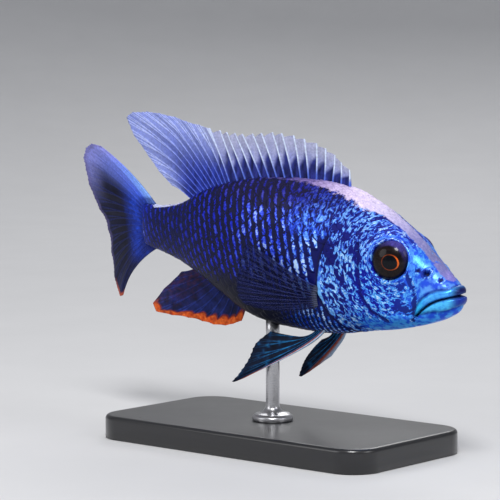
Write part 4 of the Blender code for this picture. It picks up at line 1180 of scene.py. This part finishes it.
def paint_tail(number, t, ridge, place, left):
    """Bright blue upper lobe pale at its tip, near black middle, dark blue lower lobe."""
    noise, fine = value_noise(place, 2.4, 4), value_noise(place, 0.9, 10)
    base = blend(fine, (18, 38, 124), (36, 74, 206))
    rim = ramp(1.6, 0.2, left - 0.8 * noise) * ramp(14.0, 11.0, number)
    return with_cover(layered(
        blend(noise, (12, 13, 26), (22, 25, 54)),
        (ramp(0.46, 0.10, t + 0.1 * (noise - 0.5)), base),
        (ramp(4.6, 0.8, number), blend(t, (58, 98, 228), (142, 152, 232))),
        (ramp(0.62, 0.98, t) * ramp(7, 2.5, number), (140, 144, 220)),
        (ramp(12.5, 16.0, number) * 0.45, (18, 28, 88)),
        (ramp(0.3, 0.8, ridge) * 0.25, (40, 56, 146)),
        (ramp(1.5, 0.2, number) * ramp(0.75, 0.2, t) * 0.8, (132, 176, 250)),
        (rim * 0.5, (104, 96, 150)),
        (ramp(0.10, 0.03, t) * 0.7, (22, 36, 112)),
        (ramp(2.2, 0.8, left) * ramp(13.0, 14.5, number), (190, 86, 62)),
    ), 0.98)


def paint_pectoral(number, t, ridge, place, left):
    """Clear dark membrane with fine paler rays and a cream grey root."""
    on_ray = ramp(0.3, 0.8, ridge)
    colour = layered(
        blend(on_ray, (13, 18, 56), blend(t, (50, 60, 120), (28, 38, 104))),
        (ramp(0.7, 0.1, number) * 0.5, (74, 84, 176)),
        (ramp(0.14, 0.02, t), (70, 76, 100)),
    )
    return with_cover(colour, np.clip(0.46 + 0.34 * on_ray + 0.5 * ramp(0.2, 0.0, t), 0, 1))


def paint_pelvic(number, t, ridge, place, left):
    """Near black with cyan streaks along the rays and a pale leading edge with an orange line."""
    noise, fine = value_noise(place, 1.8, 5), value_noise(place, 0.6, 11)
    streak = blend(fine, (12, 66, 132), (44, 150, 220))
    return with_cover(layered(
        blend(noise, (8, 13, 28), (14, 30, 58)),
        (ramp(0.25, 0.7, ridge) * ramp(1.05, 0.3, t), streak),
        (ramp(0.66, 0.95, noise) * 0.35, streak),
        (ramp(1.0, 0.6, number) * 0.8, (176, 84, 56)),
        (ramp(0.55, 0.1, number), (174, 200, 230)),
    ), 0.97)


def soft_notch(number):
    """How far the edge stands back from the rays' tips, as a share of their length."""
    return 0.011 * np.abs(np.sin(np.pi * number)) + 0.009 * np.abs(np.sin(3 * np.pi * number))


def dorsal_notch(number):
    part = number - np.floor(number)
    spiny = (0.015 + 0.10 * part**1.6) * ramp(0.03, 0.12, np.minimum(part, 1 - part))
    return np.where(number < SPINES - 1, spiny, soft_notch(number))


def anal_notch(number):
    wave = 0.03 * np.abs(np.sin(np.pi * (number - np.floor(number)))) ** 0.8
    return wave + np.interp(number, (8.0, 9.0, 10.0, 11.0), (0.0, 0.09, 0.13, 0.11))


def pelvic_notch(number):
    return 0.012 * np.abs(np.sin(3 * np.pi * number))


def make_fins():
    thin, solid = fin_material("fin_membrane", True), fin_material("fin_painted", False)
    aside = (0, 1, 0)
    make_fin(
        "dorsal_fin", dorsal_rays(), 20, 70, dorsal_notch, 0.2, (0.5, 0.13, 0.24, 0.07),
        paint_dorsal, thin, SPINES, aside,
    )
    make_fin(
        "anal_fin", anal_rays(), 20, 60, anal_notch, 0.2, (0.45, 0.12, 0.24, 0.07),
        paint_anal, solid, 0, aside,
    )
    make_fin(
        "tail_fin", tail_rays(), 18, 76, soft_notch, 0.15, (0.5, 0.12, 0.3, 0.08),
        paint_tail, solid, 0, aside,
    )
    tips = smooth_through(PECTORAL_KNOTS, PECTORAL_TIPS, np.arange(PECTORAL_COUNT))
    for side, word in ((1, "left"), (-1, "right")):
        rays = paired_rays(side, PECTORAL_BASE, tips, PECTORAL_CURVE)
        make_fin(
            "pectoral_fin_" + word, rays, 14, 60, soft_notch, 0.08, (0.3, 0.1, 0.12, 0.05),
            paint_pectoral, thin,
        )
        rays = paired_rays(side, PELVIC_BASE, PELVIC_TIPS[side], PELVIC_CURVE)
        make_fin(
            "pelvic_fin_" + word, rays, 28, 60, pelvic_notch, 0.15, (0.4, 0.12, 0.2, 0.07),
            paint_pelvic, solid,
        )


# Eyes


def eye_material():
    make = Shader("eye")
    paint, fleck = make.attribute("paint", "Color"), make.noise(make.attribute("rest"), 2.6, 3.0, 0.6)
    colour = make.shade(paint, make.step(fleck, 0.3, 0.7, 0.75, 1.2))
    return make.set(colour=colour, roughness=0.3, specular=0.06, coat=0.22, coat_roughness=0.02)


def paint_eye(forward, up):
    """Dark brown iris, near black pupil, thin orange ring, and a violet crescent of painted
    reflection at the top front.
    """
    r = np.hypot(forward, up)
    px, pz = forward - PUPIL[0], up - PUPIL[1]
    turn = np.arctan2(pz, px)
    pupil = np.hypot(px / 2.15, pz / 2.0) / (1 + 0.10 * bell(turn + 0.5, 0.6))
    place = stack(forward, up, 0.0)
    noise = value_noise(place, 0.7, 6)
    # Painted reflection: a violet crescent at the top front of the iris.
    crescent = ramp(4.0, 4.7, r) * bell(np.arctan2(up, forward) - 1.25, 0.7)
    wide = 0.05 + 0.13 * bell(turn - 0.25, 0.75) + 0.05 * (value_noise(place, 0.9, 7) - 0.5)
    ring = ramp(0.97, 1.03, pupil) * ramp(1.05 + wide, 1.0 + wide, pupil)
    return layered(
        blend(noise, (9, 7, 12), (28, 18, 18)),
        (ramp(4.3, 5.1, r), (10, 10, 30)),
        (crescent * (0.5 + 0.5 * noise), (78, 70, 160)),
        (ring * (0.28 + 0.72 * bell(turn - 0.2, 0.8)), (222, 98, 30)),
        (ramp(1.02, 0.96, pupil), (4, 8, 16)),
    )


def make_eye(word, side, material):
    """Flattened ball, closed at the back, set in the socket."""
    directions = eye_directions(side)
    centre = np.array([EYE_X, side * EYE_OUT, EYE_Z]) - directions[2] * EYE_DEPTH
    polar = np.concatenate([np.linspace(0.004, 0.5, 90), np.linspace(0.52, 0.99, 20)]) * np.pi
    turn = np.linspace(0, 2 * np.pi, 150, endpoint=False)
    polar, turn = np.meshgrid(polar, turn, indexing="ij")
    a = EYE_RADIUS * np.sin(polar) * np.cos(turn)
    b = EYE_RADIUS * np.sin(polar) * np.sin(turn)
    local = stack(a, b, EYE_DEPTH * np.cos(polar))
    flat = {"paint": paint_eye(-side * a, b), "rest": local}
    unwrap = 0.5 + 0.48 * (polar / np.pi)[..., None] * stack(np.cos(turn), np.sin(turn))
    name, ends = "eye_fine_" + word, ((0.5, 0.5), (0.985, 0.5))
    mesh = tube_mesh(name, local @ directions + centre, to_row, flat, unwrap, ends)
    add_piece(name, mesh, material, ("eye_" + word,))


# Stand


def base_material():
    make = Shader("stand_base_finish")
    place = make.place()
    return make.set(
        colour=(0.012, 0.012, 0.014, 1.0),
        roughness=make.step(make.noise(place, 40.0, 3.0, 0.5), 0.2, 0.8, 0.27, 0.33),
        normal=make.bump(make.noise(place, 900.0, 2.0, 0.5), 0.05, 0.0001),
        coat=0.3, coat_roughness=0.16,
    )


def rod_material():
    make = Shader("stand_rod_finish")
    brushed = make.noise(make.vector(make.place(), (300.0, 300.0, 9000.0)), 1.0, 2.0, 0.6)
    return make.set(
        colour=make.mix(brushed, (0.42, 0.42, 0.44, 1), (0.62, 0.62, 0.64, 1)), metallic=1.0,
        roughness=make.step(brushed, 0.2, 0.8, 0.24, 0.4), normal=make.bump(brushed, 0.08, 0.0001),
    )


def stand_piece(grid, node, material):
    """Closed piece of the stand from a grid of rings, in millimetres, in place of its solid."""
    rings, around = grid.shape[:2]
    path = np.insert(grid[:, 0], (0, rings), grid[[0, -1]].mean(axis=1), axis=0)
    run = np.cumsum(np.linalg.norm(np.diff(path, axis=0), axis=1))
    along, turn = np.meshgrid(run[:-1] / run[-1], np.arange(around) / around, indexing="ij")
    unwrap, ends = 0.02 + 0.96 * stack(along, turn), ((0.02, 0.5), (0.98, 0.5))
    name = node + "_fine"
    mesh = tube_mesh(name, grid, lambda points: points * MM, {}, unwrap, ends, 0.96)
    add_piece(name, mesh, material, (node,))


def make_base():
    """Plate with round corners and a round upper edge."""
    rows = [(0.5, 0.0), (BASE_FOOT, 0.06), (0.0, BASE_FOOT)]
    for turn in np.linspace(0, np.pi / 2, 9):
        inset, drop = (BASE_EDGE * (1 - part) for part in (math.cos(turn), math.sin(turn)))
        rows.append((inset, BASE_HEIGHT - drop))
    rows += [(BASE_EDGE + 0.3, BASE_HEIGHT), (BASE_CORNER - 0.5, BASE_HEIGHT)]
    inset, height = np.array(rows).T[..., None, None]
    corner = np.arange(4)[:, None]
    angle = np.linspace(0, np.pi / 2, 24) + corner * np.pi / 2
    sign_x, sign_y = np.array([(1, 1), (-1, 1), (-1, -1), (1, -1)]).T[..., None]
    x = sign_x * (BASE_LENGTH / 2 - BASE_CORNER) + (BASE_CORNER - inset) * np.cos(angle)
    y = sign_y * (BASE_WIDTH / 2 - BASE_CORNER) + (BASE_CORNER - inset) * np.sin(angle)
    stand_piece(stack(x, y, height).reshape(len(rows), -1, 3), "stand_base", base_material())


def make_rod():
    """Turned rod with a foot, its top just inside the belly."""
    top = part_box("stand_rod")[1][2] / MM - BASE_HEIGHT + ROD_SUNK
    rows = [
        (FOOT_RADIUS - 0.3, 0.0), (FOOT_RADIUS - 0.06, 0.06), (FOOT_RADIUS, 0.3),
        (FOOT_RADIUS, 1.1), (FOOT_RADIUS - 0.1, 1.35), (FOOT_RADIUS - 0.35, 1.55),
    ]
    for share in np.linspace(0, 1, 14):
        radius = FOOT_RADIUS * 0.85 + (ROD_RADIUS * 1.12 - FOOT_RADIUS * 0.85) * share
        rows.append((radius, 2.0 + (FOOT_HEIGHT - 1.4) * (share + share**4) / 2))
    rows += [(ROD_RADIUS * 1.03, FOOT_HEIGHT + 1.3), (ROD_RADIUS, FOOT_HEIGHT + 2.2)]
    rows += [(ROD_RADIUS, height) for height in np.linspace(FOOT_HEIGHT + 3.0, top, 8)]
    radius, height = np.array(rows).T[..., None]
    turn = np.linspace(0, 2 * np.pi, 96, endpoint=False)
    x, y = ROD_X + radius * np.cos(turn), radius * np.sin(turn)
    stand_piece(stack(x, y, BASE_HEIGHT + height), "stand_rod", rod_material())


# Stage


def make_stage():
    """Pale round floor that curves up well away from the model, so that no horizon shows."""
    make = Shader("floor_finish")
    soft = make.noise(make.place(), 30.0, 3.0, 0.5)
    colour = make.mix(soft, (0.62, 0.62, 0.63, 1), (0.66, 0.66, 0.67, 1))
    profile = [(r, 0.0) for r in np.linspace(0.02, FLOOR_FLAT, 8)]
    for t in np.linspace(0, math.pi / 2, 16)[1:]:
        far = FLOOR_FLAT + (FLOOR_FAR - FLOOR_FLAT) * math.sin(t)
        profile.append((far, FLOOR_HIGH * (1 - math.cos(t))))
    radius, height = np.array(profile).T[..., None]
    turn = np.linspace(0, 2 * np.pi, FLOOR_AROUND, endpoint=False)
    rings = stack(radius * np.cos(turn), radius * np.sin(turn), height)
    quads, triangles = tube_faces(len(profile), FLOOR_AROUND)
    mesh = mesh_of("floor", with_ends(rings), quads, triangles[:FLOOR_AROUND])
    mesh.materials.append(make.set(colour=colour, roughness=0.9))
    floor = link("floor", mesh)


def aimed(thing, place, aim):
    thing.location = place
    thing.rotation_euler = (Vector(aim) - Vector(place)).to_track_quat("-Z", "Y").to_euler()


def make_light():
    for name, place, size, power in LIGHTS:
        data = bpy.data.lights.new(name, "AREA")
        data.shape, data.size, data.energy = "DISK", size, power
        aimed(link(name, data), place, (0, 0, FISH_HEIGHT * MM))
    world = bpy.data.worlds.new("studio")
    world.use_nodes = True
    background = world.node_tree.nodes["Background"]
    background.inputs["Color"].default_value = (0.9, 0.93, 1.0, 1.0)
    background.inputs["Strength"].default_value = 0.3
    bpy.context.scene.world = world


def make_camera():
    data = bpy.data.cameras.new("camera")
    data.lens, data.shift_x = CAMERA_LENS, CAMERA_SHIFT
    data.sensor_width, data.clip_start = 36.0, 0.01
    camera = link("camera", data)
    aimed(camera, CAMERA_PLACE, CAMERA_AIM)
    bpy.context.scene.camera = camera


def main():
    make_camera()
    make_stage()
    make_light()
    hide = hide_material()
    make_skin(hide)
    make_all_scales(hide)
    make_fins()
    eye = eye_material()
    for side, word in ((1, "left"), (-1, "right")):
        make_eye(word, side, eye)
    make_base()
    make_rod()
    bpy.context.scene.view_settings.view_transform = "Standard"


main()
